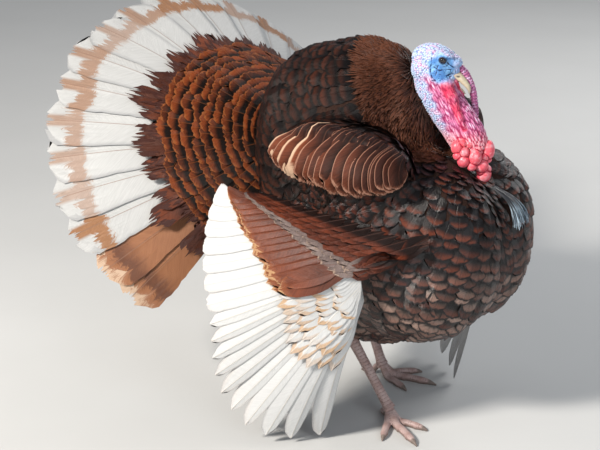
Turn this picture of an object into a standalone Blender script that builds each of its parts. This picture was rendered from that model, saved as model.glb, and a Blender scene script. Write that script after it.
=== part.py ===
# Bourbon red turkey, a life-size still model of a strutting tom, fan up and wings
# dropped.  Metres, +Z up, the bird heads along +X and its left side is +Y.
# Lengths below are taken from the ground under the middle of the body.

import bpy
import bmesh
import math
from mathutils import Matrix, Vector

# Torso: one rounded form made of lobes that share an inner point.
BODY_POINT = (-0.06, 0.0, 0.40)
BODY_LOBES = (
    ((0.066, -0.052, 0.336), (0.164, 0.138, 0.178)),
    ((0.066, 0.052, 0.336), (0.164, 0.138, 0.178)),
    ((0.055, -0.060, 0.385), (0.172, 0.118, 0.136)),
    ((0.055, 0.060, 0.385), (0.172, 0.118, 0.136)),
    ((-0.095, 0.0, 0.500), (0.140, 0.145, 0.186)),
    ((-0.165, 0.0, 0.480), (0.135, 0.140, 0.186)),
    ((-0.045, 0.0, 0.270), (0.185, 0.138, 0.155)),
    ((-0.155, 0.0, 0.420), (0.155, 0.135, 0.165)),
)
BODY_BLEND = 18.0
BODY_SEGMENTS = 32
BODY_RINGS = 21

# Feathered back of the neck, given as points of its middle line and radii.
NAPE = (
    ((0.005, 0.0, 0.460), 0.060),
    ((0.000, 0.0, 0.510), 0.080),
    ((-0.008, 0.0, 0.560), 0.080),
    ((-0.022, 0.0, 0.605), 0.064),
    ((-0.020, 0.0, 0.646), 0.047),
    ((-0.010, 0.0, 0.670), 0.028),
)

# Bare front of the neck, from the head to the wattles, narrower than it is deep.
THROAT = (
    ((0.053, -0.008, 0.645), 0.032),
    ((0.061, -0.006, 0.616), 0.035),
    ((0.081, -0.004, 0.585), 0.035),
    ((0.107, -0.002, 0.556), 0.035),
    ((0.128, 0.0, 0.528), 0.034),
    ((0.138, 0.0, 0.508), 0.027),
)
THROAT_SQUEEZE = 0.80

# Loose skin folds down the front of the throat, start and end of each.
DEWLAP = (
    ((0.100, 0.004, 0.616), (0.138, 0.004, 0.550)),
    ((0.090, -0.020, 0.606), (0.118, -0.024, 0.548)),
    ((0.092, 0.024, 0.606), (0.120, 0.026, 0.548)),
)

# Head: place of the point between the eyes, its turn to the left and its nod.
HEAD_POINT = (0.074, 0.000, 0.665)
HEAD_YAW = math.radians(25.0)
HEAD_NOD = math.radians(16.0)
SKULL_RADII = (0.041, 0.023, 0.031)
EYE_RADIUS = 0.0078
EYE_OUT = 0.0175
LID_RADIUS = 0.0066

# Tail: a cone of long feathers round a fleshy root.
TAIL_ROOT = (-0.262, 0.0, 0.455)
TAIL_FEATHERS = 18
TAIL_STEP = math.radians(12.0)
TAIL_UP = (-0.56, -0.18, 0.81)
TAIL_FRONT = (0.82, -0.23, 0.52)
TAIL_SWEEP = math.radians(30.0)
TAIL_LENGTH = 0.425
TAIL_ROUND = 0.045
TAIL_START = 0.072
TAIL_SHARES = (0.0, 0.30, 0.62, 0.92, 1.0)
TAIL_HALF = (0.0075, 0.025, 0.037, 0.041, 0.022)
VANE_THICK = 0.0012
VANE_ROLL = 0.05

# Tiers over the tail: count, reach, how far in front of the long feathers.
TAIL_TIERS = (
    (15, 0.275, 0.016),
    (13, 0.218, 0.028),
    (10, 0.163, 0.042),
)
COVERT_SHARES = (0.0, 0.42, 0.82, 1.0)
COVERT_HALF = (0.40, 0.85, 0.80, 0.18)

# Wings: wrist, elbow and the end of the hand on the right side, then the tips of
# the ten outer and seven inner flight feathers.
WRIST = (0.046, -0.214, 0.350)
ELBOW = (-0.140, -0.226, 0.435)
HAND_END = (0.052, -0.206, 0.285)
PRIMARY_TIPS = (
    (-0.030, -0.215, 0.010),
    (-0.064, -0.258, 0.011),
    (-0.098, -0.286, 0.018),
    (-0.132, -0.300, 0.035),
    (-0.158, -0.306, 0.060),
    (-0.173, -0.315, 0.092),
    (-0.180, -0.322, 0.127),
    (-0.182, -0.326, 0.160),
    (-0.183, -0.327, 0.192),
    (-0.186, -0.325, 0.222),
)
SECONDARY_TIPS = (
    (-0.196, -0.320, 0.254),
    (-0.208, -0.312, 0.286),
    (-0.218, -0.302, 0.317),
    (-0.225, -0.291, 0.347),
    (-0.229, -0.279, 0.376),
    (-0.229, -0.267, 0.404),
    (-0.225, -0.256, 0.430),
)
FLIGHT_SHARES = (0.0, 0.2, 0.55, 0.88, 1.0)
PRIMARY_LEAD = (0.003, 0.005, 0.010, 0.009, 0.002)
PRIMARY_TRAIL = (0.003, 0.010, 0.022, 0.019, 0.004)
SECONDARY_LEAD = (0.003, 0.008, 0.014, 0.015, 0.006)
SECONDARY_TRAIL = (0.003, 0.013, 0.021, 0.022, 0.010)
WING_BULGE = 0.016

# Tiers over the wing: count, first and last flight feather under the tier,
# where along it the tier starts and ends, offsets at both ends, half width.
WHITE_TIER = (7, 0.2, 8.0, 0.01, 0.47, 0.006, 0.008, 0.0130)
WING_TIERS = (
    (7, 8.0, 16.0, 0.00, 0.48, 0.024, 0.012, 0.0205),
    (6, 7.0, 16.0, -0.04, 0.30, 0.032, 0.021, 0.0225),
)
ARM_OFFSET = 0.020

# Shoulder hump over each wing.  Its long feathers hang side by side from the front
# to the rear: turns forward and up round the hump, at the root and at the tip.
SHOULDER = (-0.022, -0.150, 0.507)
SHOULDER_RADII = (0.138, 0.070, 0.072)
SHOULDER_FEATHERS = 10
SHOULDER_FRONT = ((0.95, 1.15), (0.72, -0.65))
SHOULDER_REAR = ((-0.15, 1.15), (-1.08, 0.10))
SHOULDER_SHARES = (0.0, 0.25, 0.55, 0.85, 1.0)
SHOULDER_HALF = (0.010, 0.0165, 0.0185, 0.0165, 0.006)
SHOULDER_TILT = 0.22

# How far the left wing swings forward and under the body per length of drop, and
# how far back its shoulder sits, reached at a rise over the wrist.
LEFT_FORWARD = 0.22
LEFT_TUCK = 0.27
LEFT_BACK = 0.030
LEFT_BACK_RISE = 0.09

# Legs: hock, toe joint and the way the middle toe points, for each side.
LEG_RIGHT = ((-0.065, -0.076, 0.152), (0.030, -0.082, 0.026), math.radians(-32.0))
LEG_LEFT = ((-0.135, 0.072, 0.160), (-0.085, 0.074, 0.026), math.radians(10.0))
SHANK_RADIUS = 0.0085
SOLE_FLAT = 0.0016

BEARD_LOCKS = 5

# Clear space left between two parts that touch.
GAP = 0.0006


def clear_scene():
    for item in list(bpy.data.objects):
        bpy.data.objects.remove(item, do_unlink=True)
    for item in list(bpy.data.meshes):
        bpy.data.meshes.remove(item)


def new_collection(name):
    made = bpy.data.collections.new(name)
    bpy.context.scene.collection.children.link(made)
    return made


def material(name, colour, roughness, metallic=0.0):
    made = bpy.data.materials.new(name)
    made.use_nodes = True
    shader = made.node_tree.nodes["Principled BSDF"]
    shader.inputs["Base Color"].default_value = (*colour, 1.0)
    shader.inputs["Roughness"].default_value = roughness
    shader.inputs["Metallic"].default_value = metallic
    made.diffuse_color = (*colour, 1.0)
    return made


def link_mesh(name, mesh, where):
    made = bpy.data.objects.new(name, mesh)
    where.objects.link(made)
    return made


def from_bmesh(name, form, where):
    bmesh.ops.recalc_face_normals(form, faces=form.faces)
    if form.calc_volume(signed=True) < 0.0:
        bmesh.ops.reverse_faces(form, faces=form.faces)
    bmesh.ops.triangulate(form, faces=form.faces)
    mesh = bpy.data.meshes.new(name)
    form.to_mesh(mesh)
    form.free()
    return link_mesh(name, mesh, where)


def ellipsoid(name, where, centre, radii, turn=None, segments=12, rings=8):
    form = bmesh.new()
    bmesh.ops.create_uvsphere(form, u_segments=segments, v_segments=rings, radius=1.0)
    place = Matrix.Translation(Vector(centre))
    if turn is not None:
        place = place @ turn.to_4x4()
    place = place @ Matrix.Diagonal((*radii, 1.0))
    form.transform(place)
    return from_bmesh(name, form, where)


def lobed_body(name, where):
    form = bmesh.new()
    bmesh.ops.create_uvsphere(
        form, u_segments=BODY_SEGMENTS, v_segments=BODY_RINGS, radius=1.0
    )
    start = Vector(BODY_POINT)
    for vert in form.verts:
        way = vert.co.normalized()
        reaches = [lobe_reach(start, way, Vector(centre), radii) for centre, radii in BODY_LOBES]
        weights = [reach ** BODY_BLEND for reach in reaches]
        vert.co = start + way * sum(r * w for r, w in zip(reaches, weights)) / sum(weights)
    return from_bmesh(name, form, where)


def lobe_reach(start, way, centre, radii):
    p = [(start[k] - centre[k]) / radii[k] for k in range(3)]
    d = [way[k] / radii[k] for k in range(3)]
    a = sum(v * v for v in d)
    b = sum(p[k] * d[k] for k in range(3))
    c = sum(v * v for v in p) - 1.0
    return (-b + math.sqrt(b * b - a * c)) / a


def tube(name, where, points, resolution=3):
    curve = bpy.data.curves.new(name, "CURVE")
    curve.dimensions = "3D"
    curve.bevel_depth = 1.0
    curve.bevel_resolution = resolution
    curve.use_fill_caps = True
    line = curve.splines.new("POLY")
    line.points.add(len(points) - 1)
    for spot, (place, radius) in zip(line.points, points):
        spot.co = (*place, 1.0)
        spot.radius = radius
    holder = bpy.data.objects.new(name + "_line", curve)
    where.objects.link(holder)
    bpy.context.view_layer.update()
    mesh = bpy.data.meshes.new_from_object(holder)
    bpy.data.objects.remove(holder, do_unlink=True)
    bpy.data.curves.remove(curve)
    form = bmesh.new()
    form.from_mesh(mesh)
    bpy.data.meshes.remove(mesh)
    bmesh.ops.remove_doubles(form, verts=form.verts, dist=0.00001)
    return from_bmesh(name, form, where)


def smooth_line(points, steps):
    made = []
    last = len(points) - 1
    for k in range(last):
        before = points[max(k - 1, 0)]
        first = points[k]
        second = points[k + 1]
        after = points[min(k + 2, last)]
        for step in range(steps):
            made.append(between(before, first, second, after, step / steps))
    made.append(points[last])
    return made


def between(before, first, second, after, share):
    values = []
    rows = [(*row[0], row[1]) for row in (before, first, second, after)]
    for a, b, c, d in zip(*rows):
        values.append(0.5 * (
            2.0 * b
            + (c - a) * share
            + (2.0 * a - 5.0 * b + 4.0 * c - d) * share ** 2
            + (3.0 * b - a - 3.0 * c + d) * share ** 3
        ))
    return (tuple(values[:3]), values[3])


def keep_largest(item):
    form = bmesh.new()
    form.from_mesh(item.data)
    bmesh.ops.remove_doubles(form, verts=form.verts, dist=0.000002)
    left = set(form.verts)
    groups = []
    while left:
        seed = left.pop()
        group = {seed}
        edge = [seed]
        while edge:
            vert = edge.pop()
            for link in vert.link_edges:
                other = link.other_vert(vert)
                if other in left:
                    left.discard(other)
                    group.add(other)
                    edge.append(other)
        groups.append(group)
    groups.sort(key=group_size)
    for group in groups[:-1]:
        bmesh.ops.delete(form, geom=list(group), context="VERTS")
    bmesh.ops.triangulate(form, faces=form.faces)
    form.to_mesh(item.data)
    form.free()


def group_size(group):
    low = [min(vert.co[k] for vert in group) for k in range(3)]
    high = [max(vert.co[k] for vert in group) for k in range(3)]
    return math.dist(low, high)


def apply_boolean(item, operation, solver, cutter=None, group=None):
    change = item.modifiers.new("join", "BOOLEAN")
    change.operation = operation
    change.solver = solver
    if group is None:
        change.object = cutter
    else:
        change.operand_type = "COLLECTION"
        change.collection = group
    bpy.context.view_layer.update()
    graph = bpy.context.evaluated_depsgraph_get()
    mesh = bpy.data.meshes.new_from_object(item.evaluated_get(graph))
    old = item.data
    item.modifiers.clear()
    item.data = mesh
    bpy.data.meshes.remove(old)


def join(name, pieces, colour):
    base = pieces[0]
    if len(pieces) > 1:
        group = new_collection(name + "_pieces")
        for piece in pieces[1:]:
            for home in list(piece.users_collection):
                home.objects.unlink(piece)
            group.objects.link(piece)
        apply_boolean(base, "UNION", "EXACT", group=group)
        for piece in list(group.objects):
            bpy.data.objects.remove(piece, do_unlink=True)
        bpy.data.collections.remove(group)
    keep_largest(base)
    base.name = name
    base.data.name = name
    base.data.materials.clear()
    base.data.materials.append(colour)
    return base


def cut_clear(item, neighbour, cutters):
    form = bmesh.new()
    form.from_mesh(neighbour.data)
    form.normal_update()
    for vert, way in [(vert, vert.normal.copy()) for vert in form.verts]:
        vert.co += way * GAP
    cutter = from_bmesh(item.name + "_clear", form, cutters)
    cutter.display_type = "WIRE"
    apply_boolean(item, "DIFFERENCE", "MANIFOLD", cutter=cutter)
    apply_boolean(item, "DIFFERENCE", "MANIFOLD", cutter=neighbour)
    bpy.data.objects.remove(cutter, do_unlink=True)
    keep_largest(item)


def settle(items, cutters):
    # Each item gives way to the ones before it that reach into its box.
    for k, item in enumerate(items):
        for other in items[:k]:
            if boxes_meet(item, other):
                cut_clear(item, other, cutters)


def boxes_meet(first, second):
    lows, highs = zip(box_of(first), box_of(second))
    return all(
        max(lows[0][k], lows[1][k]) < min(highs[0][k], highs[1][k]) + 2.0 * GAP
        for k in range(3)
    )


def box_of(item):
    spots = [vert.co for vert in item.data.vertices]
    low = [min(spot[k] for spot in spots) for k in range(3)]
    high = [max(spot[k] for spot in spots) for k in range(3)]
    return low, high


def vane(where, spine, sides, half_low, half_high, thickness, ridge):
    # sides are unit vectors across the vane at each spine point, towards the
    # high half; both faces are split into the same triangles.
    form = bmesh.new()
    rings = []
    last = len(spine) - 1
    for j, point in enumerate(spine):
        along = (spine[min(j + 1, last)] - spine[max(j - 1, 0)]).normalized()
        side = (sides[j] - along * sides[j].dot(along)).normalized()
        out = along.cross(side)
        marks = [(-half_low[j], 0.5), (half_high[j], 0.5)]
        if ridge:
            marks.insert(1, (0.0, 1.0))
        top = [point + side * w + out * thickness * t for w, t in marks]
        low = [point + side * w - out * thickness * t for w, t in marks]
        rings.append([form.verts.new(spot) for spot in top + low[::-1]])
    count = len(rings[0])
    half = count // 2
    for first, second in zip(rings[:-1], rings[1:]):
        for k in range(count):
            n = (k + 1) % count
            a, b, c, d = first[k], first[n], second[n], second[k]
            if k < half:
                form.faces.new((a, b, c))
                form.faces.new((a, c, d))
            else:
                form.faces.new((a, b, d))
                form.faces.new((b, c, d))
    form.faces.new(rings[0][::-1])
    form.faces.new(rings[-1])
    return from_bmesh("vane", form, where)


def tail_axes():
    up = Vector(TAIL_UP).normalized()
    front = Vector(TAIL_FRONT)
    front = (front - up * front.dot(up)).normalized()
    side = front.cross(up)
    return up, side, front


def fan_point(angle, reach, offset):
    up, side, front = tail_axes()
    ring = up * math.cos(angle) - side * math.sin(angle)
    sweep = TAIL_SWEEP * (0.62 + 0.38 * reach / TAIL_LENGTH)
    spot = (ring * math.cos(sweep) - front * math.sin(sweep)) * reach
    return Vector(TAIL_ROOT) + spot + front * offset


def fan_reach(reach, index, count):
    # The middle feathers of the fan are the longest.
    middle = (count - 1) / 2.0
    return reach * (1.0 + TAIL_ROUND - 2.2 * TAIL_ROUND * ((index - middle) / middle) ** 2)


def fan_vane(where, index, count, reach, offset, layer, shares, half, ridge):
    step = TAIL_STEP * (TAIL_FEATHERS - 1) / (count - 1)
    middle = (count - 1) / 2.0
    angle = (middle - index) * step
    back = offset - layer * abs(index - middle)
    front = tail_axes()[2]
    spine = []
    sides = []
    for share in shares:
        far = TAIL_START + (fan_reach(reach, index, count) - TAIL_START) * share
        spine.append(fan_point(angle, far, back))
        way = fan_point(angle - 0.01, far, back) - fan_point(angle + 0.01, far, back)
        way.normalize()
        lean = -VANE_ROLL if index < middle else VANE_ROLL
        sides.append(way + front * lean)
    return vane(where, spine, sides, half, half, VANE_THICK, ridge)


def lerp(first, second, share):
    return Vector(first) * (1.0 - share) + Vector(second) * share


def wing_point(row, share, offset):
    # Points of the wing's outer surface; row counts flight feathers from the
    # outermost inwards and may fall between two of them.
    roots = flight_roots()
    tips = PRIMARY_TIPS + SECONDARY_TIPS
    low = max(0, min(int(row), len(tips) - 2))
    part = row - low
    root = lerp(roots[low], roots[low + 1], part)
    tip = lerp(tips[low], tips[low + 1], part)
    lift = WING_BULGE * math.sin(math.pi * min(max(share, -0.2), 1.0))
    return lerp(root, tip, share) + Vector((0.0, -1.0, 0.0)) * (lift + offset)


def wing_vane(where, left, row, first, last, offsets, lead, trail, shares):
    spine = []
    sides = []
    for share in shares:
        along = first + (last - first) * share
        offset = offsets[0] + (offsets[1] - offsets[0]) * share
        before = side_of(wing_point(row - 0.15, along, offset), left)
        after = side_of(wing_point(row + 0.15, along, offset), left)
        out = Vector((0.0, 1.0 if left else -1.0, 0.0))
        spine.append((before + after) / 2.0)
        sides.append((after - before).normalized() - out * VANE_ROLL * 1.2)
    return vane(where, spine, sides, lead, trail, VANE_THICK * 0.75, False)


def flight_roots():
    made = []
    for k in range(len(PRIMARY_TIPS)):
        made.append(lerp(HAND_END, WRIST, k / 10.0))
    for k in range(len(SECONDARY_TIPS)):
        made.append(lerp(WRIST, ELBOW, k / (len(SECONDARY_TIPS) - 1.0)))
    return made


def side_of(point, left):
    # The left wing hangs closer under the body than the right one.
    if not left:
        return Vector(point)
    drop = max(0.0, WRIST[2] - point[2])
    rise = min(1.0, max(0.0, point[2] - WRIST[2]) / LEFT_BACK_RISE)
    forward = LEFT_FORWARD * drop - LEFT_BACK * rise
    return Vector((point[0] + forward, -point[1] - LEFT_TUCK * drop, point[2]))


def head_frame():
    turn = Matrix.Rotation(HEAD_YAW, 3, "Z") @ Matrix.Rotation(HEAD_NOD, 3, "Y")
    return Matrix.Translation(Vector(HEAD_POINT)) @ turn.to_4x4()


def in_head(x, y, z):
    return head_frame() @ Vector((x, y, z))


def head_turn():
    return head_frame().to_3x3()


def make_head(where, colour):
    turn = head_turn()
    pieces = [
        ellipsoid("skull", where, in_head(-0.012, 0.0, -0.011), SKULL_RADII, turn, 14, 10),
        ellipsoid("forehead", where, in_head(0.014, 0.0, -0.001), (0.019, 0.015, 0.012), turn, 10, 7),
        ellipsoid("jaw", where, in_head(0.006, 0.0, -0.026), (0.024, 0.017, 0.014), turn, 10, 7),
        ellipsoid("snout", where, in_head(0.022, 0.0, -0.014), (0.018, 0.012, 0.012), turn, 10, 7),
    ]
    for side in (-1.0, 1.0):
        brow = ellipsoid(
            "brow", where, in_head(0.002, side * 0.0145, 0.009), (0.015, 0.006, 0.005),
            turn, 8, 5
        )
        pieces.append(brow)
        for rise in (1.0, -1.0):
            lid = []
            for k in range(5):
                angle = math.pi * (0.06 + 0.88 * k / 4.0)
                lid.append((
                    in_head(
                        math.cos(angle) * LID_RADIUS,
                        side * (EYE_OUT + 0.0052),
                        rise * math.sin(angle) * LID_RADIUS * 0.85,
                    ),
                    0.0019,
                ))
            pieces.append(tube("lid", where, lid, 0))
    return join("head", pieces, colour)


def make_throat(where, colour):
    pieces = [tube("throat", where, smooth_line(THROAT, 2))]
    pieces[0].data.transform(Matrix.Diagonal((1.0, THROAT_SQUEEZE, 1.0, 1.0)))
    for start, end in DEWLAP:
        middle = lerp(start, end, 0.5)
        long_way = (Vector(end) - Vector(start)).normalized()
        across = Vector((0.0, 1.0, 0.0)).cross(long_way)
        turn = Matrix((across, Vector((0.0, 1.0, 0.0)), long_way)).transposed()
        reach = (Vector(end) - Vector(start)).length * 0.55
        pieces.append(ellipsoid("fold", where, middle, (0.014, 0.006, reach), turn, 8, 7))
    return join("throat", pieces, colour)


def make_bill(where, colour):
    upper = tube("upper_bill", where, [
        (in_head(0.018, 0.0004, -0.022), 0.0085),
        (in_head(0.034, 0.0004, -0.026), 0.0082),
        (in_head(0.048, 0.0004, -0.032), 0.0062),
        (in_head(0.058, 0.0, -0.040), 0.0036),
        (in_head(0.061, 0.0, -0.047), 0.0012),
    ])
    lower = tube("lower_bill", where, [
        (in_head(0.012, 0.0005, -0.037), 0.0062),
        (in_head(0.030, 0.0005, -0.041), 0.0052),
        (in_head(0.045, 0.0, -0.045), 0.0038),
        (in_head(0.054, 0.0, -0.049), 0.0016),
    ])
    upper = join("upper_bill", [upper], colour)
    return upper, join("lower_bill", [lower], colour)


def open_nostrils(upper, where):
    for side in (-1.0, 1.0):
        nostril = ellipsoid(
            "nostril", where, in_head(0.037, side * 0.0076, -0.0235), (0.0036, 0.0018, 0.0012),
            head_turn(), 8, 6
        )
        apply_boolean(upper, "DIFFERENCE", "EXACT", cutter=nostril)
        bpy.data.objects.remove(nostril, do_unlink=True)
    keep_largest(upper)


def make_eyes(where, colour):
    made = []
    for name, side in (("eye_right", -1.0), ("eye_left", 1.0)):
        ball = ellipsoid(
            name, where, in_head(0.0, side * EYE_OUT, 0.0), (EYE_RADIUS,) * 3, None, 12, 8
        )
        made.append(join(name, [ball], colour))
    return made


def make_snood(where, colour):
    line = smooth_line([
        (in_head(0.020, 0.001, -0.003), 0.0050),
        (in_head(0.032, 0.004, -0.009), 0.0064),
        (in_head(0.045, 0.008, -0.019), 0.0068),
        (in_head(0.060, 0.009, -0.036), 0.0064),
        (in_head(0.072, 0.007, -0.056), 0.0058),
        (in_head(0.081, 0.004, -0.076), 0.0050),
        (in_head(0.085, 0.003, -0.088), 0.0032),
    ], 2)
    return join("snood", [tube("snood", where, line, 2)], colour)


def make_wattles(where, colour):
    bulbs = (
        ((0.140, 0.002, 0.508), (0.020, 0.020, 0.018)),
        ((0.124, -0.032, 0.522), (0.011, 0.011, 0.013)),
        ((0.136, -0.030, 0.500), (0.011, 0.012, 0.012)),
        ((0.150, -0.018, 0.506), (0.013, 0.012, 0.015)),
        ((0.162, 0.008, 0.514), (0.011, 0.012, 0.018)),
        ((0.157, -0.006, 0.490), (0.013, 0.012, 0.013)),
        ((0.158, 0.003, 0.472), (0.013, 0.013, 0.015)),
        ((0.144, 0.026, 0.506), (0.012, 0.012, 0.015)),
    )
    pieces = []
    for centre, radii in bulbs:
        pieces.append(ellipsoid("bulb", where, centre, radii, None, 8, 6))
    return join("wattles", pieces, colour)


def make_tail(where, white, brown):
    up, side, front = tail_axes()
    turn = Matrix((side, up, front)).transposed()
    root = Vector(TAIL_ROOT)
    pieces = [ellipsoid("hub", where, root - front * 0.026, (0.096, 0.092, 0.019), turn)]
    for k in range(TAIL_FEATHERS):
        pieces.append(fan_vane(
            where, k, TAIL_FEATHERS, TAIL_LENGTH, 0.0, 0.0015, TAIL_SHARES, TAIL_HALF, True
        ))
    fan = join("tail_fan", pieces, white)
    pieces = [
        ellipsoid("boss", where, root + front * 0.008, (0.108, 0.104, 0.046), turn)
    ]
    for count, reach, offset in TAIL_TIERS:
        step = TAIL_STEP * (TAIL_FEATHERS - 1) / (count - 1)
        width = step * reach * math.cos(TAIL_SWEEP) * 0.60
        half = [width * share for share in COVERT_HALF]
        for k in range(count):
            pieces.append(fan_vane(
                where, k, count, reach, offset, 0.0006, COVERT_SHARES, half, False
            ))
    return fan, join("tail_coverts", pieces, brown)


def make_wing(where, left, white, brown):
    side = "left" if left else "right"
    pieces = [tube("hand", where, [
        (side_of(HAND_END, left), 0.009),
        (side_of(WRIST, left), 0.015),
        (side_of(ELBOW, left), 0.015),
    ], 2)]
    for row in range(len(PRIMARY_TIPS)):
        pieces.append(wing_vane(
            where, left, row, 0.0, 1.0, (0.0, 0.0), PRIMARY_LEAD, PRIMARY_TRAIL, FLIGHT_SHARES
        ))
    for row in range(len(PRIMARY_TIPS), len(PRIMARY_TIPS + SECONDARY_TIPS)):
        pieces.append(wing_vane(
            where, left, row, 0.0, 1.0, (0.0, 0.0), SECONDARY_LEAD, SECONDARY_TRAIL,
            FLIGHT_SHARES
        ))
    pieces += wing_tier(where, left, WHITE_TIER)
    flight = join("flight_" + side, pieces, white)
    pieces = [tube("arm", where, [
        (side_of(wing_point(5.0, 0.00, ARM_OFFSET), left), 0.012),
        (side_of(wing_point(9.5, -0.06, ARM_OFFSET), left), 0.024),
        (side_of(wing_point(16.3, -0.12, ARM_OFFSET), left), 0.026),
    ], 2)]
    for tier in WING_TIERS:
        pieces += wing_tier(where, left, tier)
    coverts = join("wing_coverts_" + side, pieces, brown)
    return flight, coverts, make_shoulder(where, left, side, brown)


def wing_tier(where, left, tier):
    count, low, high, start, end, root_offset, tip_offset, half = tier
    widths = [half * share for share in COVERT_HALF]
    made = []
    for k in range(count):
        row = low + (high - low) * k / (count - 1)
        made.append(wing_vane(
            where, left, row, start, end, (root_offset, tip_offset), widths, widths,
            COVERT_SHARES
        ))
    return made


def make_shoulder(where, left, side, brown):
    hump = ellipsoid("hump", where, side_of(SHOULDER, left), SHOULDER_RADII, None, 16, 10)
    pieces = [hump]
    for k in range(SHOULDER_FEATHERS):
        pieces.append(shoulder_vane(where, left, k / (SHOULDER_FEATHERS - 1.0)))
    return join("scapulars_" + side, pieces, brown)


def shoulder_vane(where, left, share):
    # A feather hangs over the hump with its rear edge over the feather behind it.
    root = lerp(SHOULDER_FRONT[0], SHOULDER_REAR[0], share)
    tip = lerp(SHOULDER_FRONT[1], SHOULDER_REAR[1], share)
    middle = Vector(SHOULDER)
    spine = []
    outs = []
    for along in SHOULDER_SHARES:
        forward, up = lerp(root, tip, along)
        ring = math.cos(forward)
        way = Vector((math.sin(forward), -ring * math.cos(up), ring * math.sin(up)))
        lift = 0.985 + 0.085 * along
        spot = Vector([way[k] * SHOULDER_RADII[k] for k in range(3)]) * lift
        out = Vector([way[k] / SHOULDER_RADII[k] for k in range(3)]).normalized()
        out.y = -out.y if left else out.y
        spine.append(side_of(middle + spot, left))
        outs.append(out)
    sides = []
    for k, out in enumerate(outs):
        run = spine[min(k + 1, len(spine) - 1)] - spine[max(k - 1, 0)]
        rear = out.cross(run).normalized() * (1.0 if left else -1.0)
        sides.append(rear + out * SHOULDER_TILT)
    return vane(where, spine, sides, SHOULDER_HALF, SHOULDER_HALF, VANE_THICK * 0.75, False)


def make_leg(where, left, brown, skin):
    side = "left" if left else "right"
    hock, ankle, heading = LEG_LEFT if left else LEG_RIGHT
    hock = Vector(hock)
    ankle = Vector(ankle)
    hip = hock + Vector((0.035, 0.0, 0.090))
    thigh = join("thigh_" + side, [tube("thigh", where, smooth_line([
        (hip, 0.052),
        (lerp(hip, hock, 0.45), 0.046),
        (lerp(hip, hock, 0.80), 0.034),
        (lerp(hip, hock, 1.05), 0.024),
        (lerp(hock, ankle, 0.16), 0.013),
    ], 2))], brown)
    pieces = [
        tube("shank", where, [
            (lerp(hock, hip, 0.10), 0.0080),
            (hock, 0.0125),
            (lerp(hock, ankle, 0.15), 0.0095),
            (lerp(hock, ankle, 0.55), SHANK_RADIUS),
            (lerp(hock, ankle, 0.90), 0.0095),
            (ankle, 0.0120),
        ]),
    ]
    toes = (
        (0.0, 0.098, 0.0076),
        (math.radians(-34.0), 0.074, 0.0070),
        (math.radians(34.0), 0.070, 0.0070),
        (math.radians(172.0), 0.040, 0.0058),
    )
    for angle, length, radius in toes:
        way = Vector((math.cos(heading + angle), math.sin(heading + angle), 0.0))
        rear = length < 0.05
        lift = 0.012 if rear else 0.0
        line = [
            (ankle, radius),
            (Vector((ankle.x, ankle.y, radius + lift)) + way * length * 0.28, radius),
            (Vector((ankle.x, ankle.y, radius)) + way * length * 0.55, radius * 0.92),
            (Vector((ankle.x, ankle.y, radius * 0.9)) + way * length * 0.86, radius * 0.85),
            (Vector((ankle.x, ankle.y, radius * 0.8)) + way * length, radius * 0.55),
            (Vector((ankle.x, ankle.y, radius * 0.35)) + way * length * 1.14, radius * 0.18),
        ]
        pieces.append(tube("toe", where, line, 1))
    foot = join("foot_" + side, pieces, skin)
    level_sole(foot)
    return thigh, foot


def level_sole(item):
    form = bmesh.new()
    form.from_mesh(item.data)
    bmesh.ops.bisect_plane(
        form, geom=list(form.verts) + list(form.edges) + list(form.faces), dist=0.000001,
        plane_co=(0.0, 0.0, SOLE_FLAT), plane_no=(0.0, 0.0, 1.0), clear_inner=True
    )
    rim = [edge for edge in form.edges if edge.is_boundary]
    bmesh.ops.holes_fill(form, edges=rim, sides=0)
    bmesh.ops.recalc_face_normals(form, faces=form.faces)
    bmesh.ops.triangulate(form, faces=form.faces)
    form.to_mesh(item.data)
    form.free()


def make_beard(where, colour):
    root = Vector((0.186, 0.0, 0.450))
    pieces = [ellipsoid("beard_root", where, root, (0.016, 0.010, 0.012), None, 10, 6)]
    for k in range(BEARD_LOCKS):
        share = k / (BEARD_LOCKS - 1.0) - 0.5
        spine = [
            root + Vector((0.002, share * 0.010, 0.000)),
            root + Vector((0.034, share * 0.020, -0.010 - 0.012 * abs(share))),
            root + Vector((0.052, share * 0.030, -0.034 - 0.016 * abs(share))),
            root + Vector((0.056, share * 0.036, -0.062 - 0.020 * (k % 2))),
        ]
        sides = [Vector((0.0, 1.0, 0.0))] * 4
        half = [0.0018, 0.0021, 0.0018, 0.0007]
        pieces.append(vane(where, spine, sides, half, half, 0.0016, False))
    return join("beard", pieces, colour)


def centre_on_floor(items):
    low = Vector((1e9, 1e9, 1e9))
    high = -low
    for item in items:
        for vert in item.data.vertices:
            for k in range(3):
                low[k] = min(low[k], vert.co[k])
                high[k] = max(high[k], vert.co[k])
    move = Vector((-(low.x + high.x) / 2.0, -(low.y + high.y) / 2.0, -low.z))
    for item in items:
        item.data.transform(Matrix.Translation(move))
        item.data.update()


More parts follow.
